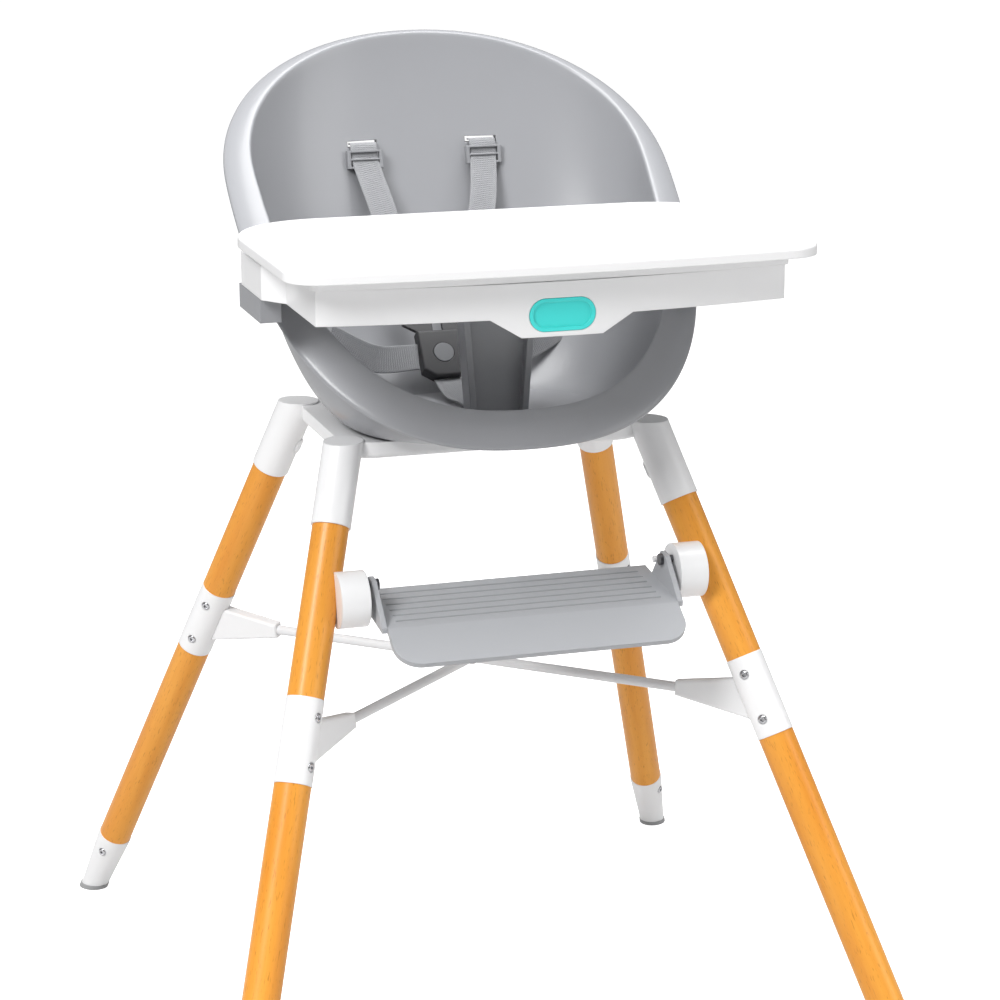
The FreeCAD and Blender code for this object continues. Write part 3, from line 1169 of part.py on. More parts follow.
pivot = Vector(0, size("pivot_y"), size("pivot_z"))
footrest_frame = Placement(pivot, Rotation(Vector(1, 0, 0), size("footrest_tilt")))
BEND = "atan({apron_fall} / {apron_forward})"
t = "{footrest_thickness}"
footrest = new_body("footrest_body", footrest_frame)
section = new_sketch(footrest, "YZ", "footrest_section")
draw_polygon(section, [
    ("{footrest_rear}", "-{footrest_drop}"), ("-{footrest_front}", "-{footrest_drop}"),
    ("-{footrest_front} - {apron_forward}", "-{footrest_drop} - {apron_fall}"),
    (f"-{{footrest_front}} - {{apron_forward}} + {t} * sin({BEND})",
     f"-{{footrest_drop}} - {{apron_fall}} - {t} * cos({BEND})"),
    (f"-{{footrest_front}} + {t} * tan({BEND} / 2)", f"-{{footrest_drop}} - {t}"),
    ("{footrest_rear}", f"-{{footrest_drop}} - {t}")])
plate = pad(footrest, section, "2 * {footrest_half_width}", both_ways=True)
apron_y = -size("footrest_front") - size("apron_forward") / 2
corners_done = rounded(footrest, plate, "{apron_corner}",
                       lambda edge: edge.BoundBox.XLength < 0.01 and edge.BoundBox.YMax < apron_y)
bend_y = -size("footrest_front")
rounded(footrest, corners_done, "8", lambda edge: edge.BoundBox.XLength > 100
        and abs(edge.BoundBox.YMin - bend_y) < 0.01 and edge.BoundBox.YLength < 0.01)
grooves = new_sketch(footrest, "XY", "footrest_grooves", "-{footrest_drop}")
groove_count = int(size("groove_count"))
first_groove = "-{footrest_front} + {groove_border}"
grooved_length = "{footrest_rear} + {footrest_front} - 2 * {groove_border} - {groove_width}"
pitch = f"({grooved_length}) / ({groove_count} - 1)"
groove_half = "{footrest_half_width} - {groove_border}"
for number in range(groove_count):
    low = f"{first_groove} + {number} * {pitch}"
    high = f"{low} + {{groove_width}}"
    draw_polygon(grooves, [(f"-({groove_half})", low), (groove_half, low), (groove_half, high),
                           (f"-({groove_half})", high)])
pocket(footrest, grooves, "{groove_depth}")
EAR_TOP = 6
EAR_REAR = 25
for side_name, side_sign in SIDES.items():
    offset = "{footrest_half_width}" if side_sign > 0 else "-{footrest_half_width} - {ear_thickness}"
    ear = new_sketch(footrest, "YZ", f"ear_{side_name}", offset)
    foot_level = f"-{{footrest_drop}} - {t}"
    draw_polygon(ear, [(f"{EAR_REAR}", foot_level), (f"{EAR_REAR}", "-{footrest_drop}"),
                       (f"{EAR_TOP}", f"{EAR_TOP}"),
                       (f"-{EAR_TOP}", f"{EAR_TOP}"), ("-{footrest_front}", "-{footrest_drop}"),
                       ("-{footrest_front}", foot_level)])
    pad(footrest, ear, "{ear_thickness}")
pin_hole = new_sketch(footrest, "YZ", "ear_pin_hole")
draw_circle(pin_hole, "0", "0", "{pin_diameter} / 2 + {fit_gap} / 2")
pocket(footrest, pin_hole, "2 * ({footrest_half_width} + {ear_thickness} + 1)", both_ways=True)
keep(footrest, "footrest_plate")

PIN_HEAD = 3
PIN_SINK = 12  # how far a pin goes into its bracket


def build_pin(side, sign):
    """A headed pin through a footrest ear into its bracket."""
    head_x = sign * (size("footrest_half_width") - size("clearance"))
    outward, upright = Vector(sign, 0, 0), Vector(0, 0, 1)
    body = new_body(f"pin_body_{side}", toward(pivot + Vector(head_x, 0, 0), outward, upright))
    shank = "{pin_diameter} / 2"
    end = f"{{footrest_boss_inner}} - {{footrest_half_width}} + {{clearance}} + {PIN_SINK}"
    turned(body, [("0", f"-{PIN_HEAD}"), ("{pin_diameter} / 2 + 2", f"-{PIN_HEAD}"),
                  ("{pin_diameter} / 2 + 2", "0"),
                  (shank, "0"), (shank, end), ("0", end)])
    return body


group("footrest_pins", [build_pin(side_name, side_sign) for side_name, side_sign in SIDES.items()])

ear_slope = Vector(0, EAR_REAR - EAR_TOP, -size("footrest_drop") - EAR_TOP).normalize()
ear_normal = Vector(0, -ear_slope.z, ear_slope.y)
ear_middle = Vector(0, (EAR_REAR + EAR_TOP) / 2, (EAR_TOP - size("footrest_drop")) / 2)
peg_local = ear_middle + ear_normal * (size("stop_peg_diameter") / 2 + size("clearance"))
peg_spot = footrest_frame.multVec(peg_local)
boss_centre = pivot - Vector(0, 0, size("footrest_boss_drop"))
BRACKET_SCREW_DROP = 14  # screw below the middle of a footrest bracket


def build_footrest_bracket(side, sign, line):
    """A round boss saddled on a front leg, with the pin bore and a stop peg for the ear."""
    outward = Vector(sign, 0, 0)
    upright = Vector(0, 0, 1)
    boss = primitive("Cylinder", f"boss_{side}",
                     toward(Vector(sign * size("footrest_boss_inner"), boss_centre.y, boss_centre.z),
                            outward, upright),
                     Radius="{footrest_boss_diameter} / 2",
                     Height="{footrest_boss_reach} - {footrest_boss_inner}")
    peg_start = sign * (size("footrest_half_width") - 2)
    peg = primitive("Cylinder", f"peg_{side}",
                    toward(Vector(peg_start, peg_spot.y, peg_spot.z), outward, upright),
                    Radius="{stop_peg_diameter} / 2",
                    Height="{footrest_boss_inner} - {footrest_half_width} + 4")
    leg_space = primitive("Cylinder", f"leg_space_{side}", line.placed(-size("upper_wood_length")),
                          Radius="{leg_diameter} / 2", Height="{upper_wood_length}")
    pin_space = primitive("Cylinder", f"pin_space_{side}", toward(pivot, outward, upright),
                          Radius="{pin_diameter} / 2 + {fit_gap} / 2",
                          Height=f"{{footrest_boss_inner}} + {PIN_SINK} + {{clearance}}")
    screw_space = primitive("Cylinder", f"screw_space_{side}",
                            toward(boss_centre - Vector(0, 0, BRACKET_SCREW_DROP), outward, upright),
                            Radius="{bolt_diameter} / 2", Height="{footrest_boss_reach}")
    whole = union(f"boss_and_peg_{side}", [boss, peg])
    keep(difference(f"footrest_bracket_{side}", whole, [leg_space, pin_space, screw_space]),
         f"footrest_bracket_{side}")


bracket_screws = []
for side_name, side_sign in SIDES.items():
    build_footrest_bracket(side_name, side_sign, legs["fl" if side_sign < 0 else "fr"])
    head_at = Vector(side_sign * size("footrest_boss_inner"), boss_centre.y,
                     boss_centre.z - BRACKET_SCREW_DROP)
    screw = new_body(f"bracket_screw_{side_name}",
                     toward(head_at, Vector(side_sign, 0, 0), Vector(0, 0, 1)))
    turned(screw, [("0", "-{bolt_head_height}"), ("{bolt_head_diameter} / 2 - 1", "-{bolt_head_height}"),
                   ("{bolt_head_diameter} / 2", "0"), ("{bolt_diameter} / 2 - {fit_gap}", "0"),
                   ("{bolt_diameter} / 2 - {fit_gap}", "36"), ("0", "36")])
    bracket_screws.append(screw)
group("bracket_screws", bracket_screws)

# ---------------------------------------------------------------- harness

def webbing(label, stations):
    """A flat strap through stations of (middle, direction across, direction of thickness)."""
    half_width = size("strap_width") / 2
    half_thick = size("strap_thickness") / 2
    outlines = []
    for middle, across, thick in stations:
        across = Vector(across).normalize() * half_width
        thick = Vector(thick).normalize() * half_thick
        corners = [middle - across - thick, middle + across - thick, middle + across + thick,
                   middle - across + thick]
        outlines.append(Part.makePolygon(corners + corners[:1]))
    return keep(made_of(f"{label}_webbing", Part.makeLoft(outlines, True, True)), label)


across_x = Vector(1, 0, 0)
adjuster_back = back_surface(size("adjuster_x"), size("adjuster_z"))
ADJUSTER_STAND_OFF = 6.8  # middle of an adjuster in front of the seat back
buckle_centre = Vector(-14, 47, 636)
BUCKLE_LEAN = -38
buckle_frame = Placement(buckle_centre, Rotation(Vector(1, 0, 0), BUCKLE_LEAN))
buckle_up = buckle_frame.Rotation.multVec(Vector(0, 0, 1))
buckle_front = buckle_frame.Rotation.multVec(Vector(0, -1, 0))
half_height = size("buckle_height") / 2

adjusters = []
for side_name, side_sign in SIDES.items():
    x = side_sign * size("adjuster_x")
    in_slot = Vector(x, strap_slot_y + 3, strap_slot_z)
    out = Vector(x, strap_slot_y - 5, strap_slot_z)
    strap_middle = Vector(x, adjuster_back - ADJUSTER_STAND_OFF, size("adjuster_z"))
    low_x = side_sign * (size("adjuster_x") - 11)
    low = Vector(low_x, back_surface(abs(low_x), 764) - 24, 764)
    end = buckle_centre + buckle_up * (half_height + 16) + Vector(side_sign * 21, 0, 0)
    hang = (low - strap_middle).cross(across_x)
    webbing(f"shoulder_strap_{side_name}", [
        (in_slot, across_x, Vector(0, 0, 1)), (out, across_x, Vector(0, -1, 1.2)),
        (strap_middle, across_x, Vector(0, -1, 0.3)), (low, across_x, hang),
        (end, across_x, buckle_front)])
    frame_body = new_body(f"adjuster_{side_name}",
                          Placement(strap_middle, Rotation(Vector(1, 0, 0), -12)))
    outline = new_sketch(frame_body, "XZ", f"adjuster_outline_{side_name}")
    draw_polygon(outline, [("-{adjuster_width} / 2", "-{adjuster_height} / 2"),
                           ("{adjuster_width} / 2", "-{adjuster_height} / 2"),
                           ("{adjuster_width} / 2", "{adjuster_height} / 2"),
                           ("-{adjuster_width} / 2", "{adjuster_height} / 2")])
    pad(frame_body, outline, "{adjuster_thickness}", both_ways=True)
    for spot, low_share, high_share in (("upper", "0.05", "0.38"), ("lower", "-0.38", "-0.05")):
        window = new_sketch(frame_body, "XZ", f"adjuster_{spot}_{side_name}")
        reach_x = "{adjuster_width} / 2 - 3.5"
        draw_polygon(window, [(f"-({reach_x})", f"{low_share} * {{adjuster_height}}"),
                              (reach_x, f"{low_share} * {{adjuster_height}}"),
                              (reach_x, f"{high_share} * {{adjuster_height}}"),
                              (f"-({reach_x})", f"{high_share} * {{adjuster_height}}")])
        pocket(frame_body, window, "{adjuster_thickness} * 3", both_ways=True)
    adjusters.append(frame_body)
group("strap_adjusters", adjusters)

for side_name, side_sign in SIDES.items():
    wall_x = side_surface(75, 655)
    start = Vector(side_sign * (wall_x - 0.6), 75, 655)
    near = buckle_centre + Vector(side_sign * (size("buckle_width") / 2 + 1), 0, 0)
    bend = (start + near) / 2 + Vector(0, -6, -10)
    upright = Vector(0, 0.35, 1)
    webbing(f"waist_strap_{side_name}", [(start, upright, Vector(-side_sign * 0.4, -1, 0.3)),
                                         (bend, upright, Vector(0, -1, 0.4)),
                                         (near, buckle_up, buckle_front)])

floor_z = size("seat_bottom_z") + size("seat_floor_thickness")
strap_foot = Vector(0, CROTCH_SLOT_Y, size("seat_bottom_z") + 1)
webbing("crotch_strap", [
    (strap_foot, across_x, Vector(0, 1, 0)),
    (Vector(0, CROTCH_SLOT_Y, floor_z + 2), across_x, Vector(0, 1, 0)),
    (Vector(-10, CROTCH_SLOT_Y + 24, floor_z + 6), across_x, Vector(0, 0.4, -1)),
    (buckle_centre - buckle_up * (half_height + 0.3), across_x, -buckle_front)])

buckle = new_body("buckle_case", buckle_frame)
buckle_plan = new_sketch(buckle, "XZ", "buckle_plan")
draw_polygon(buckle_plan, [("-{buckle_width} / 2", "-{buckle_height} / 2 + 8"),
                           ("-{buckle_width} / 4", "-{buckle_height} / 2"),
                           ("{buckle_width} / 4", "-{buckle_height} / 2"),
                           ("{buckle_width} / 2", "-{buckle_height} / 2 + 8"),
                           ("{buckle_width} / 2", "{buckle_height} / 2"),
                           ("-{buckle_width} / 2", "{buckle_height} / 2")])
buckle_pad = pad(buckle, buckle_plan, "{buckle_thickness}", both_ways=True)
rounded(buckle, buckle_pad, "2.5", lambda edge: edge.BoundBox.YLength < 0.01)
button_well = new_sketch(buckle, "XZ", "buckle_well", "{buckle_thickness} / 2")
draw_circle(button_well, "0", "0", "{buckle_button_diameter} / 2 + {clearance}")
BUTTON_WELL_DEPTH = 9
pocket(buckle, button_well, f"{BUTTON_WELL_DEPTH}")
keep(buckle, "buckle_body")
press = new_body("buckle_press", buckle_frame)
press_face = new_sketch(press, "XZ", "press_face", "{buckle_thickness} / 2 + 0.5")
draw_circle(press_face, "0", "0", "{buckle_button_diameter} / 2")
pad(press, press_face, f"{BUTTON_WELL_DEPTH} - {{buckle_travel}} - {{clearance}}", reverse=True)
keep(press, "buckle_button")

tongues = []
for side_name, side_sign in SIDES.items():
    tongue = new_body(f"tongue_{side_name}",
                      Placement(buckle_centre + buckle_up * half_height + Vector(side_sign * 12, 0, 0),
                                buckle_frame.Rotation))
    shape = new_sketch(tongue, "XZ", f"tongue_outline_{side_name}")
    wide = f"{side_sign} * ({{strap_width}} / 2 + 9)"
    draw_polygon(shape, [(f"{side_sign} * -7", "0.1"), (f"{side_sign} * 7", "0.1"), (wide, "10"),
                           (wide, "17"),
                         (f"{side_sign} * -4", "17"), (f"{side_sign} * -7", "10")])
    pad(tongue, shape, "4", both_ways=True)
    tongues.append(tongue)
group("buckle_tongues", tongues)
doc.recompute()

def faults():
    """The objects that did not build."""
    bad = []
    for item in doc.Objects:
        if "Invalid" in item.State or "Error" in item.State:
            bad.append(f"{item.Name}: {item.State}")
    for item in nodes:
        if item.Shape.isNull() or not item.Shape.isValid() or not item.Shape.Solids:
            bad.append(f"{item.Label}: bad shape")
    return bad


doc.recompute()
problems = faults()
if problems:
    raise RuntimeError("did not build: " + "; ".join(problems))

os.makedirs(PARTS_FOLDER, exist_ok=True)
for node in nodes:
    node.Shape.exportStep(f"{PARTS_FOLDER}/{node.Label}.step")
    print(f"{node.Label}: {len(node.Shape.Solids)} solids, {node.Shape.Volume / 1000:.1f} cm3")
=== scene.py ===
"""The looks of a baby high chair: finishes, woven harness, screw heads, studio and camera.

Everything is in metres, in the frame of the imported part: +Z up, the chair faces -Y.
"""
import logging
import math
from dataclasses import dataclass, field
from enum import Enum

import bmesh
import bpy
from bpy.types import Material, Mesh, Node, NodeSocket, NodeTree, Object
from mathutils import Matrix, Vector
from mathutils.geometry import interpolate_bezier


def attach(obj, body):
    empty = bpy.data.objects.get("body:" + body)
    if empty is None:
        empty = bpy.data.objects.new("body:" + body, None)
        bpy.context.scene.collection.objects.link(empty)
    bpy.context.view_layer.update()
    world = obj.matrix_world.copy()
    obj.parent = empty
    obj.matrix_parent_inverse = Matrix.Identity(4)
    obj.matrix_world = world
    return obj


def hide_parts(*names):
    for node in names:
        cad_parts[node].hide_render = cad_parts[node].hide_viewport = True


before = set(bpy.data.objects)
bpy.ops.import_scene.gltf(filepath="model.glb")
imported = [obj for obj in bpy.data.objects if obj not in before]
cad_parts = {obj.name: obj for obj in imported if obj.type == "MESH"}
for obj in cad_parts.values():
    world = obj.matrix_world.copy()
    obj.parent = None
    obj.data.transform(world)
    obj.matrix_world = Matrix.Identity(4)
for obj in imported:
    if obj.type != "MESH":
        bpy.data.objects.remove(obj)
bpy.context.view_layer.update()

LOG = logging.getLogger("high_chair")
MILLIMETRE = 0.001
LEGS = ("fl", "fr", "rl", "rr")
SIDE_SIGNS = {"left": -1.0, "right": 1.0}

Colour = tuple[float, float, float]


# ---------------------------------------------------------------- node helpers

class Graph:
    """A node tree with short calls to add nodes and to join them."""

    def __init__(self, tree: NodeTree) -> None:
        """Starts on a tree, which is emptied."""
        self.tree = tree
        tree.nodes.clear()

    def add(self, kind: str, values: dict | None = None, **settings) -> Node:
        """Adds a node.

        Args:
            kind: Blender's name of the node's type.
            values: Input name or index to a constant, or to an output socket to join.
            settings: The node's own properties.

        Returns:
            The new node.
        """
        node = self.tree.nodes.new(kind)
        for key, value in settings.items():
            setattr(node, key, value)
        for key, value in (values or {}).items():
            self.feed(node.inputs[key], value)
        return node

    def feed(self, socket: NodeSocket, value) -> None:
        """Sets an input socket to a constant, or joins an output socket to it."""
        if isinstance(value, bpy.types.NodeSocket):
            self.tree.links.new(value, socket)
        else:
            socket.default_value = value

    def math(self, operation: str, first, second=0.0, third=0.0) -> NodeSocket:
        """Adds a Math node and returns its output."""
        return self.add("ShaderNodeMath", {0: first, 1: second, 2: third}, operation=operation).outputs[0]

    def spread(self, value, low: float, high: float) -> NodeSocket:
        """Maps 0..1 to low..high and returns the output."""
        node = self.add("ShaderNodeMapRange", {"Value": value, "To Min": low, "To Max": high})
        return node.outputs["Result"]

    def tint(self, factor, first: Colour, second: Colour) -> NodeSocket:
        """Mixes two colours by a factor and returns the colour output."""
        node = self.add("ShaderNodeMix", data_type="RGBA")
        self.feed(node.inputs["Factor"], factor)
        for name, colour in (("A", first), ("B", second)):
            sockets = [s for s in node.inputs if s.name == name and s.type == "RGBA"]
            self.feed(sockets[0], colour if isinstance(colour, bpy.types.NodeSocket) else (*colour, 1.0))
        return [s for s in node.outputs if s.type == "RGBA"][0]


def shader_group(name: str, inputs: dict[str, tuple[str, float]], outputs: dict[str, str]) -> Graph:
    """Makes an empty shader node group.

    Args:
        name: The group's name.
        inputs: Input name to its socket type and default.
        outputs: Output name to its socket type.

    Returns:
        The group's graph, with no nodes yet.
    """
    tree = bpy.data.node_groups.new(name, "ShaderNodeTree")
    for label, (kind, default) in inputs.items():
        socket = tree.interface.new_socket(label, in_out="INPUT", socket_type=kind)
        if kind == "NodeSocketFloat":
            socket.default_value = default
    for label, kind in outputs.items():
        tree.interface.new_socket(label, in_out="OUTPUT", socket_type=kind)
    return Graph(tree)


class Effects:
    """Shader groups that more than one material uses, each built once."""

    def __init__(self) -> None:
        """Builds the groups."""
        self.moulding = self._moulding()
        self.grain = self._grain()
        self.weave = self._weave()

    @staticmethod
    def _moulding() -> NodeTree:
        """Moulded plastic: a slow flow tone, a fine texture height and faint handling marks.

        Returns:
            The group's tree.
        """
        graph = shader_group("moulding", {"Texture Scale": ("NodeSocketFloat", 900.0)},
                             {"Tone": "NodeSocketFloat", "Height": "NodeSocketFloat",
                              "Marks": "NodeSocketFloat"})
        given = graph.add("NodeGroupInput")
        place = graph.add("ShaderNodeTexCoord").outputs["Object"]
        flow = graph.add("ShaderNodeTexNoise", {"Vector": place, "Scale": 7.0, "Detail": 3.0})
        fine = graph.add("ShaderNodeTexNoise", {"Vector": place, "Scale": given.outputs["Texture Scale"],
                                                "Detail": 2.0})
        marks = graph.add("ShaderNodeTexNoise", {"Vector": place, "Scale": 55.0, "Detail": 5.0,
                                                 "Roughness": 0.65})
        graph.add("NodeGroupOutput", {"Tone": flow.outputs["Fac"], "Height": fine.outputs["Fac"],
                                      "Marks": marks.outputs["Fac"]})
        return graph.tree

    @staticmethod
    def _grain() -> NodeTree:
        """Straight-grained beech along Z of the given vector: growth bands, fibres and short dark flecks.

        Returns:
            The group's tree.
        """
        graph = shader_group("beech_grain", {"Vector": ("NodeSocketVector", 0.0)},
                             {"Bands": "NodeSocketFloat", "Fibres": "NodeSocketFloat",
                              "Flecks": "NodeSocketFloat"})
        place = graph.add("NodeGroupInput").outputs["Vector"]
        warp = graph.add("ShaderNodeMapping", {"Vector": place, "Scale": (60.0, 60.0, 5.0)})
        slow = graph.add("ShaderNodeTexNoise", {"Vector": warp.outputs[0], "Scale": 1.0, "Detail": 3.0,
                                                "Roughness": 0.45})
        fibre_space = graph.add("ShaderNodeMapping", {"Vector": place, "Scale": (1500.0, 1500.0, 26.0)})
        fibres = graph.add("ShaderNodeTexNoise", {"Vector": fibre_space.outputs[0], "Scale": 1.0,
                                                  "Detail": 4.0, "Roughness": 0.6})
        fleck_space = graph.add("ShaderNodeMapping", {"Vector": place, "Scale": (850.0, 850.0, 120.0)})
        cells = graph.add("ShaderNodeTexNoise", {"Vector": fleck_space.outputs[0], "Scale": 1.0,
                                                 "Detail": 1.0})
        flecks = graph.add("ShaderNodeMapRange", {"Value": cells.outputs["Fac"], "From Min": 0.62,
                                                  "From Max": 0.74})
        graph.add("NodeGroupOutput", {"Bands": slow.outputs["Fac"], "Fibres": fibres.outputs["Fac"],
                                      "Flecks": flecks.outputs["Result"]})
        return graph.tree

    @staticmethod
    def _weave() -> NodeTree:
        """Woven webbing on a UV map in metres, U along the strap and V across it.

        Returns:
            The group's tree.
        """
        graph = shader_group("webbing_weave", {"Yarn Pitch": ("NodeSocketFloat", 0.0011)},
                             {"Height": "NodeSocketFloat", "Shade": "NodeSocketFloat"})
        pitch = graph.add("NodeGroupInput").outputs["Yarn Pitch"]
        place = graph.add("ShaderNodeUVMap", uv_map="webbing").outputs["UV"]
        split = graph.add("ShaderNodeSeparateXYZ", {"Vector": place})
        turn = 2.0 * math.pi
        along = graph.math("MULTIPLY", graph.math("DIVIDE", split.outputs["X"], pitch), turn)
        across = graph.math("MULTIPLY", graph.math("DIVIDE", split.outputs["Y"], pitch), turn * 0.8)
        diagonal = graph.math("ADD", along, across)
        rows = graph.math("SINE", along)
        yarns = graph.math("SINE", graph.math("MULTIPLY", diagonal, 0.5))
        height = graph.math("MULTIPLY_ADD", graph.math("MULTIPLY", rows, yarns), 0.5, 0.5)
        blotch = graph.add("ShaderNodeTexNoise", {"Vector": place, "Scale": 260.0, "Detail": 3.0})
        graph.add("NodeGroupOutput", {"Height": height, "Shade": blotch.outputs["Fac"]})
        return graph.tree

    @staticmethod
    def placed(graph: Graph, tree: NodeTree, values: dict | None = None) -> Node:
        """Puts a group in a material's graph and returns its node."""
        node = graph.add("ShaderNodeGroup", node_tree=tree)
        for key, value in (values or {}).items():
            graph.feed(node.inputs[key], value)
        return node


EFFECTS = Effects()


# ---------------------------------------------------------------- finishes

def new_material(name: str) -> tuple[Material, Graph]:
    """Makes a material with an empty graph and returns both."""
    material = bpy.data.materials.new(name)
    material.use_nodes = True
    return material, Graph(material.node_tree)


def close_graph(graph: Graph, shader: Node, height: NodeSocket, strength: float, distance: float,
                edge_radius: float = 0.0) -> None:
    """Adds the bump and the output to a material's graph.

    Args:
        graph: The material's graph.
        shader: Its Principled BSDF.
        height: The surface height, 0 to 1.
        strength: Bump strength.
        distance: Bump height in metres.
        edge_radius: Radius that hard edges look rounded by, in metres.
    """
    bump = graph.add("ShaderNodeBump", {"Height": height, "Strength": strength, "Distance": distance})
    if edge_radius:
        edge = graph.add("ShaderNodeBevel", {"Radius": edge_radius}, samples=6)
        graph.feed(bump.inputs["Normal"], edge.outputs["Normal"])
    graph.feed(shader.inputs["Normal"], bump.outputs["Normal"])
    graph.add("ShaderNodeOutputMaterial", {"Surface": shader.outputs[0]})


@dataclass(frozen=True)
class MouldedPlastic:
    """Injection-moulded plastic, from matt to glossy."""

    name: str
    colour: Colour
    roughness: float
    gloss_coat: float = 0.0
    texture_scale: float = 900.0
    texture_depth: float = 0.00004
    tone_change: float = 0.04
    edge_radius: float = 0.0014

    def material(self) -> Material:
        """Builds the material."""
        material, graph = new_material(self.name)
        effect = Effects.placed(graph, EFFECTS.moulding, {"Texture Scale": self.texture_scale})
        darker = tuple(c * (1.0 - self.tone_change) for c in self.colour)
        lighter = tuple(min(c * (1.0 + self.tone_change), 1.0) for c in self.colour)
        colour = graph.tint(effect.outputs["Tone"], darker, lighter)
        rough = graph.spread(effect.outputs["Marks"], self.roughness * 0.88, self.roughness * 1.12)
        shader = graph.add("ShaderNodeBsdfPrincipled",
                           {"Base Color": colour, "Roughness": rough, "IOR": 1.5,
                            "Coat Weight": self.gloss_coat, "Coat Roughness": 0.12})
        close_graph(graph, shader, effect.outputs["Height"], 0.35, self.texture_depth, self.edge_radius)
        return material


@dataclass(frozen=True)
class LacqueredBeech:
    """Clear-lacquered beech with its grain along one leg."""

    name: str
    axis: Vector
    through: Vector
    light: Colour = (0.86, 0.39, 0.062)
    dark: Colour = (0.70, 0.255, 0.026)
    fleck: Colour = (0.36, 0.12, 0.015)

    def material(self) -> Material:
        """Builds the material."""
        material, graph = new_material(self.name)
        turn = self.axis.to_track_quat("Z", "Y").inverted()
        place = graph.add("ShaderNodeTexCoord").outputs["Object"]
        laid = graph.add("ShaderNodeMapping", {"Vector": place, "Rotation": turn.to_euler(),
                                               "Location": -(turn @ self.through)})
        grain = Effects.placed(graph, EFFECTS.grain, {"Vector": laid.outputs[0]})
        bands = graph.spread(grain.outputs["Bands"], -0.35, 1.35)
        fibres = graph.spread(grain.outputs["Fibres"], -0.22, 0.22)
        board = graph.tint(graph.math("ADD", bands, fibres), self.light, self.dark)
        share = graph.math("MULTIPLY", grain.outputs["Flecks"], 0.45)
        colour = graph.tint(share, board, self.fleck)
        rough = graph.spread(grain.outputs["Fibres"], 0.30, 0.42)
        shader = graph.add("ShaderNodeBsdfPrincipled",
                           {"Base Color": colour, "Roughness": rough, "IOR": 1.5,
                            "Coat Weight": 0.12, "Coat Roughness": 0.16,
                            "Specular IOR Level": 0.32})
        height = graph.math("SUBTRACT", grain.outputs["Fibres"], share)
        close_graph(graph, shader, height, 0.4, 0.00008)
        return material


@dataclass(frozen=True)
class PlatedSteel:
    """Bright plated or powder-coated metal with faint wear."""

    name: str
    colour: Colour
    roughness: float
    metallic: float = 1.0

    def material(self) -> Material:
        """Builds the material."""
        material, graph = new_material(self.name)
        effect = Effects.placed(graph, EFFECTS.moulding, {"Texture Scale": 1400.0})
        darker = tuple(c * 0.9 for c in self.colour)
        colour = graph.tint(effect.outputs["Marks"], darker, self.colour)
        rough = graph.spread(effect.outputs["Marks"], self.roughness * 0.75, self.roughness * 1.3)
        shader = graph.add("ShaderNodeBsdfPrincipled",
                           {"Base Color": colour, "Roughness": rough, "Metallic": self.metallic})
        close_graph(graph, shader, effect.outputs["Height"], 0.25, 0.00003)
        return material


@dataclass(frozen=True)
class WovenWebbing:
    """Polyester harness webbing, with painted shade in the weave's furrows."""

    name: str
    colour: Colour
    yarn_pitch: float = 0.0011

    def material(self) -> Material:
        """Builds the material."""
        material, graph = new_material(self.name)
        effect = Effects.placed(graph, EFFECTS.weave, {"Yarn Pitch": self.yarn_pitch})
        # Painted shade: where the weave's height is low, the colour falls to 62%, like shade in the
        # furrows between the yarns.
        furrow = tuple(c * 0.62 for c in self.colour)
        base = graph.tint(effect.outputs["Height"], furrow, self.colour)
        worn = tuple(min(c * 1.12, 1.0) for c in self.colour)
        colour = graph.tint(graph.spread(effect.outputs["Shade"], 0.0, 0.5), base, worn)
        shader = graph.add("ShaderNodeBsdfPrincipled",
                           {"Base Color": colour, "Roughness": 0.82, "Sheen Weight": 0.25,
                            "Sheen Roughness": 0.5})
        close_graph(graph, shader, effect.outputs["Height"], 0.7, 0.0003)
        return material


class Finish(Enum):
    """The finishes of this chair that do not depend on a piece's direction."""

    WHITE = MouldedPlastic("white_moulding", (0.86, 0.86, 0.865), 0.34, 0.15)
    TRAY = MouldedPlastic("tray_white", (0.88, 0.88, 0.885), 0.30, 0.25, tone_change=0.02)
    SHELL = MouldedPlastic("grey_shell", (0.31, 0.315, 0.332), 0.34, 0.12, 1100.0, 0.00003, 0.025)
    FOOTREST = MouldedPlastic("grey_footrest", (0.42, 0.43, 0.45), 0.48, 0.0, 900.0, 0.00006, 0.03)
    TEAL = MouldedPlastic("teal_button", (0.06, 0.78, 0.74), 0.30, 0.2, tone_change=0.03)
    LATCH = MouldedPlastic("latch_moulding", (0.30, 0.31, 0.33), 0.5)
    ADJUSTER = MouldedPlastic("adjuster_moulding", (0.27, 0.275, 0.29), 0.42, 0.0, 700.0)
    BUCKLE = MouldedPlastic("buckle_moulding", (0.035, 0.035, 0.038), 0.5, 0.0, 500.0, 0.0001)
    BUCKLE_BUTTON = MouldedPlastic("buckle_button_moulding", (0.16, 0.165, 0.175), 0.45, 0.0, 500.0)
    RUBBER = MouldedPlastic("grey_rubber", (0.36, 0.365, 0.37), 0.78, 0.0, 420.0, 0.00012, 0.06)
    ROD = PlatedSteel("white_coated_rod", (0.80, 0.80, 0.81), 0.36, 0.0)
    CHROME = PlatedSteel("plated_steel", (0.62, 0.62, 0.64), 0.20)
    DARK_STEEL = PlatedSteel("blackened_steel", (0.13, 0.13, 0.14), 0.34)
    WEBBING = WovenWebbing("grey_webbing", (0.31, 0.315, 0.33))


class Paints:
    """Makes each finish's material once and hands it out."""

    def __init__(self) -> None:
        """Starts with no materials."""
        self._made: dict[Finish, Material] = {}

    def get(self, finish: Finish) -> Material:
        """The finish's material, made on first use."""
        if finish not in self._made:
            self._made[finish] = finish.value.material()
        return self._made[finish]


PAINTS = Paints()


# ---------------------------------------------------------------- mesh helpers

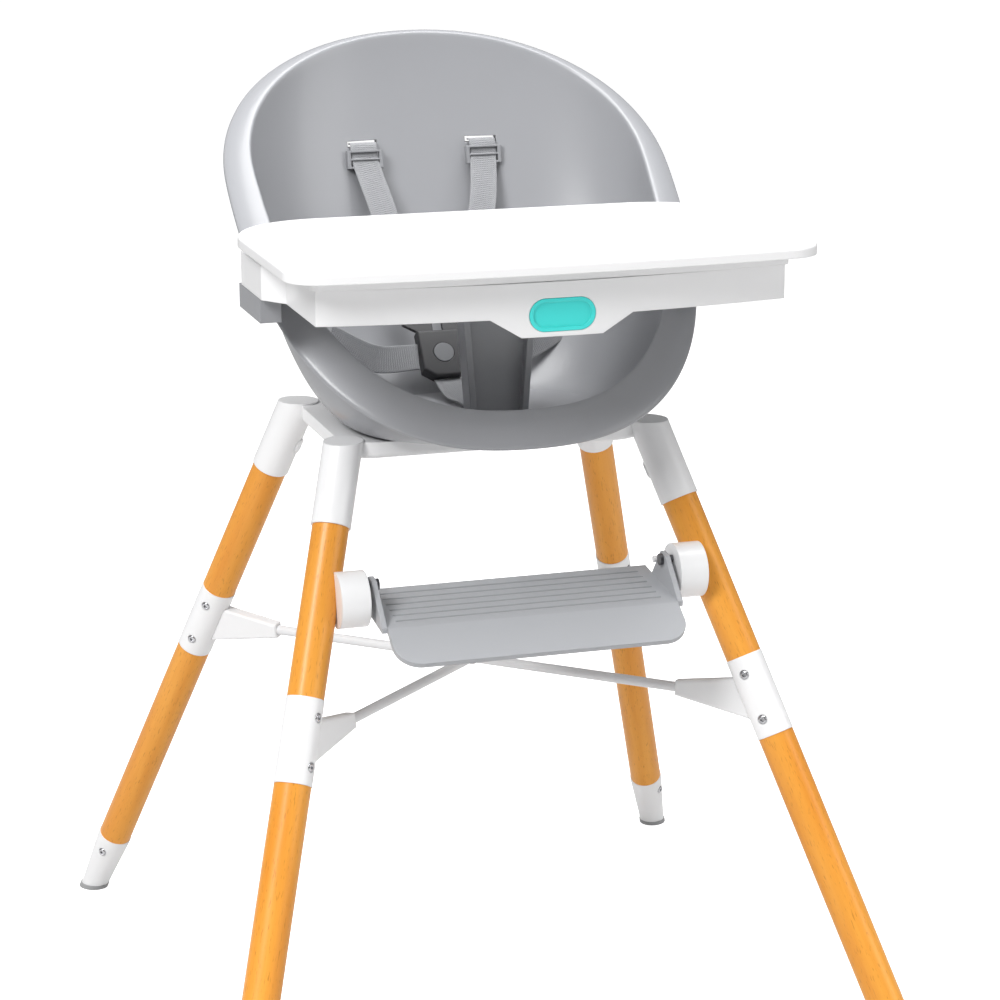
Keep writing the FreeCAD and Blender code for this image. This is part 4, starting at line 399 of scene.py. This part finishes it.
def dress(node: str, material: Material) -> None:
    """Gives a CAD node's object one material in all of its slots."""
    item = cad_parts[node]
    if not item.material_slots:
        item.data.materials.append(material)
    for slot in item.material_slots:
        slot.material = material
    LOG.info("%s: %s", node, material.name)


def new_object(name: str, mesh: Mesh, material: Material | None = None) -> Object:
    """Makes an object at the origin from a mesh and links it to the scene."""
    item = bpy.data.objects.new(name, mesh)
    bpy.context.scene.collection.objects.link(item)
    if material:
        mesh.materials.clear()
        mesh.materials.append(material)
    return item


def stand_in(item: Object, body: str, slot: str, *nodes: str) -> None:
    """Makes a piece ride on a body in place of CAD nodes."""
    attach(item, body)
    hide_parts(*nodes)
    LOG.info("%s: %d faces, rides on %s", item.name, len(item.data.polygons), body)


def loose_clouds(node: str) -> list[list[Vector]]:
    """The corner points of each separate solid of a CAD node."""
    work = bmesh.new()
    work.from_mesh(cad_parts[node].data)
    bmesh.ops.remove_doubles(work, verts=work.verts, dist=1e-6)
    seen: set[int] = set()
    work.verts.ensure_lookup_table()
    clouds = []
    for start in work.verts:
        if start.index in seen:
            continue
        seen.add(start.index)
        stack, cloud = [start], []
        while stack:
            vert = stack.pop()
            cloud.append(vert.co.copy())
            for edge in vert.link_edges:
                other = edge.other_vert(vert)
                if other.index not in seen:
                    seen.add(other.index)
                    stack.append(other)
        clouds.append(cloud)
    work.free()
    return clouds


def middle(points: list[Vector]) -> Vector:
    """The mean of some points."""
    return sum(points, Vector()) / len(points)


# ---------------------------------------------------------------- screw heads

@dataclass
class ScrewHeads:
    """Rounded heads with a hexagonal socket on the screws of a CAD node.

    A Geometry Nodes tree puts a head at each seat and turns it along the screw.
    """

    node: str
    finish: Finish
    head_radius: float
    head_height: float
    slot: str
    both_ends: bool = False
    body: str = "frame"
    socket_radius_share: float = 0.48
    segments: int = 24

    def _head(self) -> Mesh:
        """The head's mesh, its seat on the XY plane and its top along +Z, with a short shank below."""
        work = bmesh.new()
        r, h = self.head_radius, self.head_height
        sock = r * self.socket_radius_share
        profile = [(r * 0.55, -h * 3.0, False), (r * 0.55, 0.0, False), (r * 0.97, 0.0, False),
                   (r, h * 0.16, False), (r * 0.97, h * 0.48, False), (r * 0.86, h * 0.80, False),
                   (r * 0.70, h * 0.95, False), (sock * 1.12, h, False), (sock, h * 0.96, True),
                   (sock, h * 0.25, True)]
        rings = []
        for radius, z, hexagonal in profile:
            ring = []
            for step in range(self.segments):
                angle = 2.0 * math.pi * step / self.segments
                reach = radius
                if hexagonal:
                    off = (angle + math.pi / 6.0) % (math.pi / 3.0) - math.pi / 6.0
                    reach = radius * math.cos(math.pi / 6.0) / math.cos(off)
                ring.append(work.verts.new((reach * math.cos(angle), reach * math.sin(angle), z)))
            rings.append(ring)
        for low, high in zip(rings, rings[1:]):
            for step in range(self.segments):
                after = (step + 1) % self.segments
                work.faces.new((low[step], low[after], high[after], high[step]))
        work.faces.new(list(reversed(rings[0])))
        work.faces.new(rings[-1])
        bmesh.ops.recalc_face_normals(work, faces=work.faces)
        mesh = bpy.data.meshes.new("screw_head")
        work.to_mesh(mesh)
        work.free()
        return mesh

    def _seats(self) -> list[tuple[Vector, Vector]]:
        """Each screw's head seat and outward direction, read from the CAD node."""
        seats = []
        for cloud in loose_clouds(self.node):
            centre = middle(cloud)
            far = max(cloud, key=lambda p: (p - centre).length)
            axis = (far - centre).normalized()
            for _ in range(12):
                spread = sum(((p - centre).dot(axis) * (p - centre) for p in cloud), Vector())
                axis = spread.normalized()
            reach = [(p - centre).dot(axis) for p in cloud]
            ends = {1.0: max(reach), -1.0: -min(reach)}
            girth = {}
            for sign, end in ends.items():
                near = [p - centre - axis * (p - centre).dot(axis) for p in cloud
                        if (p - centre).dot(axis) * sign > end - self.head_height * 1.1]
                girth[sign] = max(v.length for v in near)
            headed = list(ends) if self.both_ends else [max(girth, key=girth.get)]
            for sign in headed:
                seats.append((centre + axis * sign * (ends[sign] - self.head_height), axis * sign))
        return seats

    def _tree(self, head: Object, material: Material) -> NodeTree:
        """The tree: head instances on points, turned to each point's direction.

        Args:
            head: The template object.
            material: What the result wears.

        Returns:
            The Geometry Nodes tree.
        """
        tree = bpy.data.node_groups.new(f"{self.node}_heads", "GeometryNodeTree")
        tree.interface.new_socket("Seats", in_out="INPUT", socket_type="NodeSocketGeometry")
        tree.interface.new_socket("Head Size", in_out="INPUT", socket_type="NodeSocketFloat")
        tree.interface.new_socket("Heads", in_out="OUTPUT", socket_type="NodeSocketGeometry")
        graph = Graph(tree)
        given = graph.add("NodeGroupInput")
        points = graph.add("GeometryNodeMeshToPoints", {"Mesh": given.outputs["Seats"]})
        way = graph.add("GeometryNodeInputNamedAttribute", {"Name": "outward"}, data_type="FLOAT_VECTOR")
        turn = graph.add("FunctionNodeAlignRotationToVector", {"Vector": way.outputs["Attribute"]},
                         axis="Z")
        shape = graph.add("GeometryNodeObjectInfo", {"Object": head})
        heads = graph.add("GeometryNodeInstanceOnPoints",
                          {"Points": points.outputs[0], "Instance": shape.outputs["Geometry"],
                           "Rotation": turn.outputs["Rotation"], "Scale": given.outputs["Head Size"]})
        real = graph.add("GeometryNodeRealizeInstances", {"Geometry": heads.outputs[0]})
        worn = graph.add("GeometryNodeSetMaterial", {"Geometry": real.outputs[0], "Material": material})
        graph.add("NodeGroupOutput", {"Heads": worn.outputs[0]})
        return tree

    def build(self) -> Object:
        """Builds the heads as one plain mesh piece that stands for the CAD node.

        Returns:
            The piece.
        """
        material = PAINTS.get(self.finish)
        head = new_object("screw_head_template", self._head(), material)
        seats = self._seats()
        mesh = bpy.data.meshes.new(f"{self.node}_seats")
        mesh.from_pydata([seat for seat, _ in seats], [], [])
        outward = mesh.attributes.new("outward", "FLOAT_VECTOR", "POINT")
        for item, (_, way) in zip(outward.data, seats):
            item.vector = way
        carrier = new_object(f"{self.node}_carrier", mesh)
        modifier = carrier.modifiers.new("heads", "NODES")
        modifier.node_group = self._tree(head, material)
        sockets = {s.name: s.identifier for s in modifier.node_group.interface.items_tree
                   if s.in_out == "INPUT"}
        modifier[sockets["Head Size"]] = 1.0
        bpy.context.view_layer.update()
        graph = bpy.context.evaluated_depsgraph_get()
        result = bpy.data.meshes.new_from_object(carrier.evaluated_get(graph))
        carrier.modifiers.clear()
        bpy.data.objects.remove(carrier)
        bpy.data.objects.remove(head)
        piece = new_object(f"{self.node}_heads", result)
        for polygon in result.polygons:
            polygon.use_smooth = True
        result.set_sharp_from_angle(angle=math.radians(35))
        stand_in(piece, self.body, self.slot, self.node)
        return piece


# ---------------------------------------------------------------- harness

@dataclass
class Webbing:
    """A woven strap swept along a smooth line, with crosswise ribs and thick bound edges."""

    name: str
    stations: list[tuple[Vector, Vector]]
    replaces: str
    width: float = 27.0 * MILLIMETRE
    thickness: float = 1.8 * MILLIMETRE
    rib_pitch: float = 2.1 * MILLIMETRE
    rib_rise: float = 0.4 * MILLIMETRE
    edge_width: float = 2.4 * MILLIMETRE
    steps_per_run: int = 24
    steps_per_rib: int = 5
    steps_across: int = 14

    def _line(self) -> list[tuple[Vector, Vector]]:
        """Points and across directions along the strap, on a Catmull-Rom line through the stations."""
        points = [point for point, _ in self.stations]
        ways = [way.normalized() for _, way in self.stations]
        padded = [points[0] * 2 - points[1], *points, points[-1] * 2 - points[-2]]
        line = []
        for run in range(len(points) - 1):
            before, start, end, after = padded[run:run + 4]
            reach = (end - start).length
            rise_start = (end - before).normalized() * reach / 3.0
            rise_end = (after - start).normalized() * reach / 3.0
            curve = interpolate_bezier(start, start + rise_start, end - rise_end, end,
                                       self.steps_per_run + 1)
            for step, point in enumerate(curve[:-1]):
                share = step / self.steps_per_run
                line.append((Vector(point), ways[run].lerp(ways[run + 1], share).normalized()))
        line.append((points[-1], ways[-1]))
        return line

    def _even_line(self) -> list[tuple[Vector, Vector, float]]:
        """The line again in equal short steps, each with its distance from the start."""
        line = self._line()
        marks = [0.0]
        for (before, _), (after, _) in zip(line, line[1:]):
            marks.append(marks[-1] + (after - before).length)
        count = max(int(marks[-1] / self.rib_pitch * self.steps_per_rib), 8)
        even, run = [], 0
        for step in range(count + 1):
            mark = marks[-1] * step / count
            while run < len(marks) - 2 and marks[run + 1] < mark:
                run += 1
            share = (mark - marks[run]) / (marks[run + 1] - marks[run])
            even.append((line[run][0].lerp(line[run + 1][0], share),
                         line[run][1].lerp(line[run + 1][1], share).normalized(), mark))
        return even

    def _section(self, mark: float) -> list[tuple[float, float]]:
        """The cross-section at a distance along the strap.

        Args:
            mark: The distance from the strap's start.

        Returns:
            (Across, out) pairs round the section, with rounded edges.
        """
        half, deep = self.width / 2.0, self.thickness / 2.0
        furrow = self.rib_rise * abs(math.cos(math.pi * mark / self.rib_pitch)) ** 3
        face = []
        for step in range(self.steps_across + 1):
            across = (step / self.steps_across - 0.5) * 2.0 * (half - deep)
            inside = min(max((half - abs(across)) / self.edge_width - 0.8, 0.0), 1.0)
            face.append((across, deep - furrow * inside))
        edge = [(half - deep + deep * math.sin(a), deep * math.cos(a))
                for a in (math.radians(30 * k) for k in range(1, 6))]
        upper = face + edge
        return upper + [(-across, -out) for across, out in upper]

    def build(self) -> Object:
        """Builds the strap's mesh with a UV map in metres.

        Returns:
            The piece.
        """
        work = bmesh.new()
        uv = work.loops.layers.uv.new("webbing")
        line = self._even_line()
        rings, sections = [], []
        for index, (point, way, mark) in enumerate(line):
            ahead = line[min(index + 1, len(line) - 1)][0] - line[max(index - 1, 0)][0]
            ahead.normalize()
            across = (way - ahead * way.dot(ahead)).normalized()
            out = across.cross(ahead).normalized()
            sections.append(self._section(mark))
            rings.append([work.verts.new(point + across * a + out * o) for a, o in sections[-1]])
        count = len(sections[0])
        for index in range(len(rings) - 1):
            low, high = rings[index], rings[index + 1]
            for step in range(count):
                after = (step + 1) % count
                wall = work.faces.new((low[step], low[after], high[after], high[step]))
                wall.smooth = True
                corners = ((step, index), (step + 1, index), (step + 1, index + 1), (step, index + 1))
                for loop, (place, row) in zip(wall.loops, corners):
                    loop[uv].uv = (line[row][2], sections[0][place % count][0])
        for ring in (rings[0], list(reversed(rings[-1]))):
            work.faces.new(ring)
        bmesh.ops.recalc_face_normals(work, faces=work.faces)
        mesh = bpy.data.meshes.new(self.name)
        work.to_mesh(mesh)
        work.free()
        piece = new_object(self.name, mesh, PAINTS.get(Finish.WEBBING))
        stand_in(piece, "frame", "grey_webbing", self.replaces)
        return piece


@dataclass
class Harness:
    """The five-point harness: straps, adjusters and buckle. Its places are in millimetres."""

    buckle_x: float = -14.0
    slot: tuple[float, float] = (168.3, 829.0)
    slot_mouth: tuple[float, float] = (160.25, 829.0)
    adjuster: tuple[float, float, float] = (61.0, 154.9, 815.0)
    hang: tuple[float, float, float] = (50.0, 123.95, 764.0)
    shoulder_end: tuple[float, float, float] = (21.0, 72.25, 668.35)
    waist_start: tuple[float, float, float] = (121.45, 75.0, 655.0)
    waist_end: tuple[float, float, float] = (24.0, 47.0, 636.0)
    waist_sag: tuple[float, float] = (-6.0, -10.0)
    crotch: tuple[tuple[float, float, float], ...] = (
        (0.0, -20.0, 591.0), (0.0, -20.0, 601.0), (-10.0, 4.0, 605.0), (-14.0, 31.4, 616.1))

    @staticmethod
    def _place(x: float, y: float, z: float) -> Vector:
        """A point given in millimetres, in metres."""
        return Vector((x, y, z)) * MILLIMETRE

    def _shoulder(self, sign: float) -> list[tuple[Vector, Vector]]:
        """A shoulder strap's stations.

        Args:
            sign: -1 on the left, 1 on the right.

        Returns:
            Each station's middle and across direction, from the slot down to the buckle.
        """
        across = Vector((1.0, 0.0, 0.0))
        places = [self._place(sign * self.adjuster[0], *self.slot),
                  self._place(sign * self.adjuster[0], *self.slot_mouth),
                  self._place(sign * self.adjuster[0], *self.adjuster[1:]),
                  self._place(sign * self.hang[0], *self.hang[1:]),
                  self._place(self.buckle_x + sign * self.shoulder_end[0], *self.shoulder_end[1:])]
        return [(place, across) for place in places]

    def _waist(self, sign: float) -> list[tuple[Vector, Vector]]:
        """A waist strap's stations.

        Args:
            sign: -1 on the left, 1 on the right.

        Returns:
            Each station's middle and across direction, from the seat's wall to the buckle.
        """
        upright, leaning = Vector((0.0, 0.35, 1.0)), Vector((0.0, 0.616, 0.788))
        start = self._place(sign * self.waist_start[0], *self.waist_start[1:])
        end = self._place(self.buckle_x + sign * self.waist_end[0], *self.waist_end[1:])
        bend = (start + end) / 2.0 + self._place(0.0, *self.waist_sag)
        return [(start, upright), (bend, upright), (end, leaning)]

    def build(self) -> None:
        """Builds the straps and dresses the hard pieces."""
        for side, sign in SIDE_SIGNS.items():
            Webbing(f"shoulder_webbing_{side}", self._shoulder(sign), f"shoulder_strap_{side}").build()
            Webbing(f"waist_webbing_{side}", self._waist(sign), f"waist_strap_{side}").build()
        crotch = [(self._place(*place), Vector((1.0, 0.0, 0.0))) for place in self.crotch]
        Webbing("crotch_webbing", crotch, "crotch_strap").build()
        dress("strap_adjusters", PAINTS.get(Finish.ADJUSTER))
        dress("buckle_body", PAINTS.get(Finish.BUCKLE))
        dress("buckle_tongues", PAINTS.get(Finish.BUCKLE))
        dress("buckle_button", PAINTS.get(Finish.BUCKLE_BUTTON))


# ---------------------------------------------------------------- sub-assemblies

@dataclass
class Legs:
    """Four legs of two beech halves with white couplers, foot caps and rubber pads."""

    bolt_head_radius: float = 4.3 * MILLIMETRE
    bolt_head_height: float = 2.2 * MILLIMETRE

    @staticmethod
    def _centre(node: str) -> Vector:
        """The middle of a CAD node's vertices."""
        return middle([v.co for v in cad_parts[node].data.vertices])

    def build(self) -> None:
        """Dresses the legs and builds their bolt heads."""
        for leg in LEGS:
            low, high = self._centre(f"lower_leg_{leg}"), self._centre(f"upper_leg_{leg}")
            beech = LacqueredBeech(f"beech_{leg}", (high - low).normalized(), low).material()
            dress(f"upper_leg_{leg}", beech)
            dress(f"lower_leg_{leg}", beech)
            for part in ("leg_coupler", "foot_cap", "leg_socket"):
                dress(f"{part}_{leg}", PAINTS.get(Finish.WHITE))
            dress(f"leg_release_button_{leg}", PAINTS.get(Finish.WHITE))
        dress("foot_pads", PAINTS.get(Finish.RUBBER))
        for node in ("coupler_bolts", "foot_screws"):
            ScrewHeads(node, Finish.CHROME, self.bolt_head_radius, self.bolt_head_height,
                       "steel_hardware", both_ends=True).build()


@dataclass
class Brace:
    """The crossed rods between the legs and their brackets."""

    def build(self) -> None:
        """Dresses the brace."""
        for leg in LEGS:
            dress(f"brace_bracket_{leg}", PAINTS.get(Finish.WHITE))
        for number in (1, 2):
            dress(f"brace_rod_{number}", PAINTS.get(Finish.ROD))
        dress("brace_rivet", PAINTS.get(Finish.CHROME))


@dataclass
class Seat:
    """The bucket seat with its base plate, tray rails and crotch post."""

    def build(self) -> None:
        """Dresses the seat."""
        for node in ("seat_shell", "crotch_post", "tray_rail_left", "tray_rail_right"):
            dress(node, PAINTS.get(Finish.SHELL))
        dress("base_plate", PAINTS.get(Finish.WHITE))
        dress("seat_screws", PAINTS.get(Finish.CHROME))


@dataclass
class Tray:
    """The sliding tray with its liner, push button and latch."""

    def build(self) -> None:
        """Dresses the tray."""
        dress("tray_body", PAINTS.get(Finish.TRAY))
        dress("tray_liner", PAINTS.get(Finish.TRAY))
        dress("tray_button", PAINTS.get(Finish.TEAL))
        for node in ("cam_plate", "latch_bar_left", "latch_bar_right"):
            dress(node, PAINTS.get(Finish.LATCH))


@dataclass
class Footrest:
    """The flip-up footrest with its pins and leg brackets."""

    def build(self) -> None:
        """Dresses the footrest."""
        dress("footrest_plate", PAINTS.get(Finish.FOOTREST))
        dress("footrest_pins", PAINTS.get(Finish.DARK_STEEL))
        dress("bracket_screws", PAINTS.get(Finish.CHROME))
        for side in SIDE_SIGNS:
            dress(f"footrest_bracket_{side}", PAINTS.get(Finish.WHITE))


# ---------------------------------------------------------------- studio

@dataclass
class Studio:
    """A pale floor, soft lights and the camera, with angles in radians and lengths in metres."""

    azimuth: float = -0.29913
    elevation: float = 0.256088
    roll: float = -0.00265
    distance: float = 2.84127
    lens: float = 105.322
    target_right: float = 0.028514
    target_up: float = 0.50126
    world_light: float = 0.28
    floor_half_size: float = 30.0
    floor_glow: float = 0.85
    light_aim: Vector = field(default_factory=lambda: Vector((0.0, 0.0, 0.6)))

    def camera(self) -> None:
        """Places the camera on its orbit and makes it the scene's."""
        back = Vector((math.sin(self.azimuth) * math.cos(self.elevation),
                       -math.cos(self.azimuth) * math.cos(self.elevation), math.sin(self.elevation)))
        level = Vector((math.cos(self.azimuth), math.sin(self.azimuth), 0.0))
        rise = back.cross(level)
        right = level * math.cos(self.roll) + rise * math.sin(self.roll)
        up = rise * math.cos(self.roll) - level * math.sin(self.roll)
        spot = right * self.target_right + Vector((0.0, 0.0, self.target_up)) + back * self.distance
        data = bpy.data.cameras.new("camera")
        data.lens = self.lens
        data.sensor_width = 36.0
        item = bpy.data.objects.new("camera", data)
        turn = Matrix((right, up, back)).transposed().to_4x4()
        item.matrix_world = Matrix.Translation(spot) @ turn
        bpy.context.scene.collection.objects.link(item)
        bpy.context.scene.camera = item

    @staticmethod
    def softbox(name: str, spot: Vector, aim: Vector, width: float, height: float, watts: float) -> None:
        """Adds a rectangular light.

        Args:
            name: Its name.
            spot: Where it stands.
            aim: What it faces.
            width: Its width in metres.
            height: Its height in metres.
            watts: Its power.
        """
        data = bpy.data.lights.new(name, "AREA")
        data.shape = "RECTANGLE"
        data.size, data.size_y = width, height
        data.energy = watts
        item = bpy.data.objects.new(name, data)
        item.rotation_euler = (spot - aim).to_track_quat("Z", "Y").to_euler()
        item.location = spot
        bpy.context.scene.collection.objects.link(item)

    def floor(self) -> None:
        """Adds the pale floor."""
        half = self.floor_half_size
        mesh = bpy.data.meshes.new("floor")
        corners = [(-half, -half, 0.0), (half, -half, 0.0), (half, half, 0.0), (-half, half, 0.0)]
        mesh.from_pydata(corners, [], [(0, 1, 2, 3)])
        material, graph = new_material("floor_white")
        place = graph.add("ShaderNodeTexCoord").outputs["Object"]
        cloud = graph.add("ShaderNodeTexNoise", {"Vector": place, "Scale": 0.8})
        colour = graph.tint(cloud.outputs["Fac"], (0.66, 0.66, 0.66), (0.68, 0.68, 0.68))
        shader = graph.add("ShaderNodeBsdfPrincipled", {"Base Color": colour, "Roughness": 0.9})
        glow = graph.add("ShaderNodeEmission", {"Strength": self.floor_glow})
        lit = graph.add("ShaderNodeAddShader", {0: shader.outputs[0], 1: glow.outputs[0]})
        seen = graph.add("ShaderNodeLightPath").outputs["Is Camera Ray"]
        both = graph.add("ShaderNodeMixShader", {0: seen, 1: shader.outputs[0], 2: lit.outputs[0]})
        graph.add("ShaderNodeOutputMaterial", {"Surface": both.outputs[0]})
        new_object("floor", mesh, material)

    def build(self) -> None:
        """Sets up the floor, the lights, the sky and the camera."""
        self.floor()
        self.camera()
        self.softbox("key", Vector((-2.3, -1.7, 3.0)), self.light_aim, 1.4, 1.4, 105.0)
        self.softbox("top", Vector((0.2, -0.2, 3.4)), self.light_aim, 2.2, 2.2, 112.0)
        self.softbox("fill", Vector((2.8, -2.2, 1.7)), self.light_aim, 1.8, 1.8, 24.0)
        world = bpy.data.worlds.new("studio")
        world.use_nodes = True
        graph = Graph(world.node_tree)
        white = (1.0, 1.0, 1.0, 1.0)
        sky = graph.add("ShaderNodeBackground", {"Color": white, "Strength": self.world_light})
        backdrop = graph.add("ShaderNodeBackground", {"Color": white, "Strength": 1.0})
        seen = graph.add("ShaderNodeLightPath").outputs["Is Camera Ray"]
        both = graph.add("ShaderNodeMixShader", {0: seen, 1: sky.outputs[0], 2: backdrop.outputs[0]})
        graph.add("ShaderNodeOutputWorld", {"Surface": both.outputs[0]})
        bpy.context.scene.world = world
        bpy.context.scene.view_settings.view_transform = "Standard"


def main() -> None:
    """Builds and dresses the whole chair, then the studio."""
    logging.basicConfig(level=logging.INFO, format="%(name)s: %(message)s")
    for part in (Legs(), Brace(), Seat(), Tray(), Footrest(), Harness()):
        part.build()
    Studio().build()


if __name__ == "__main__":
    main()
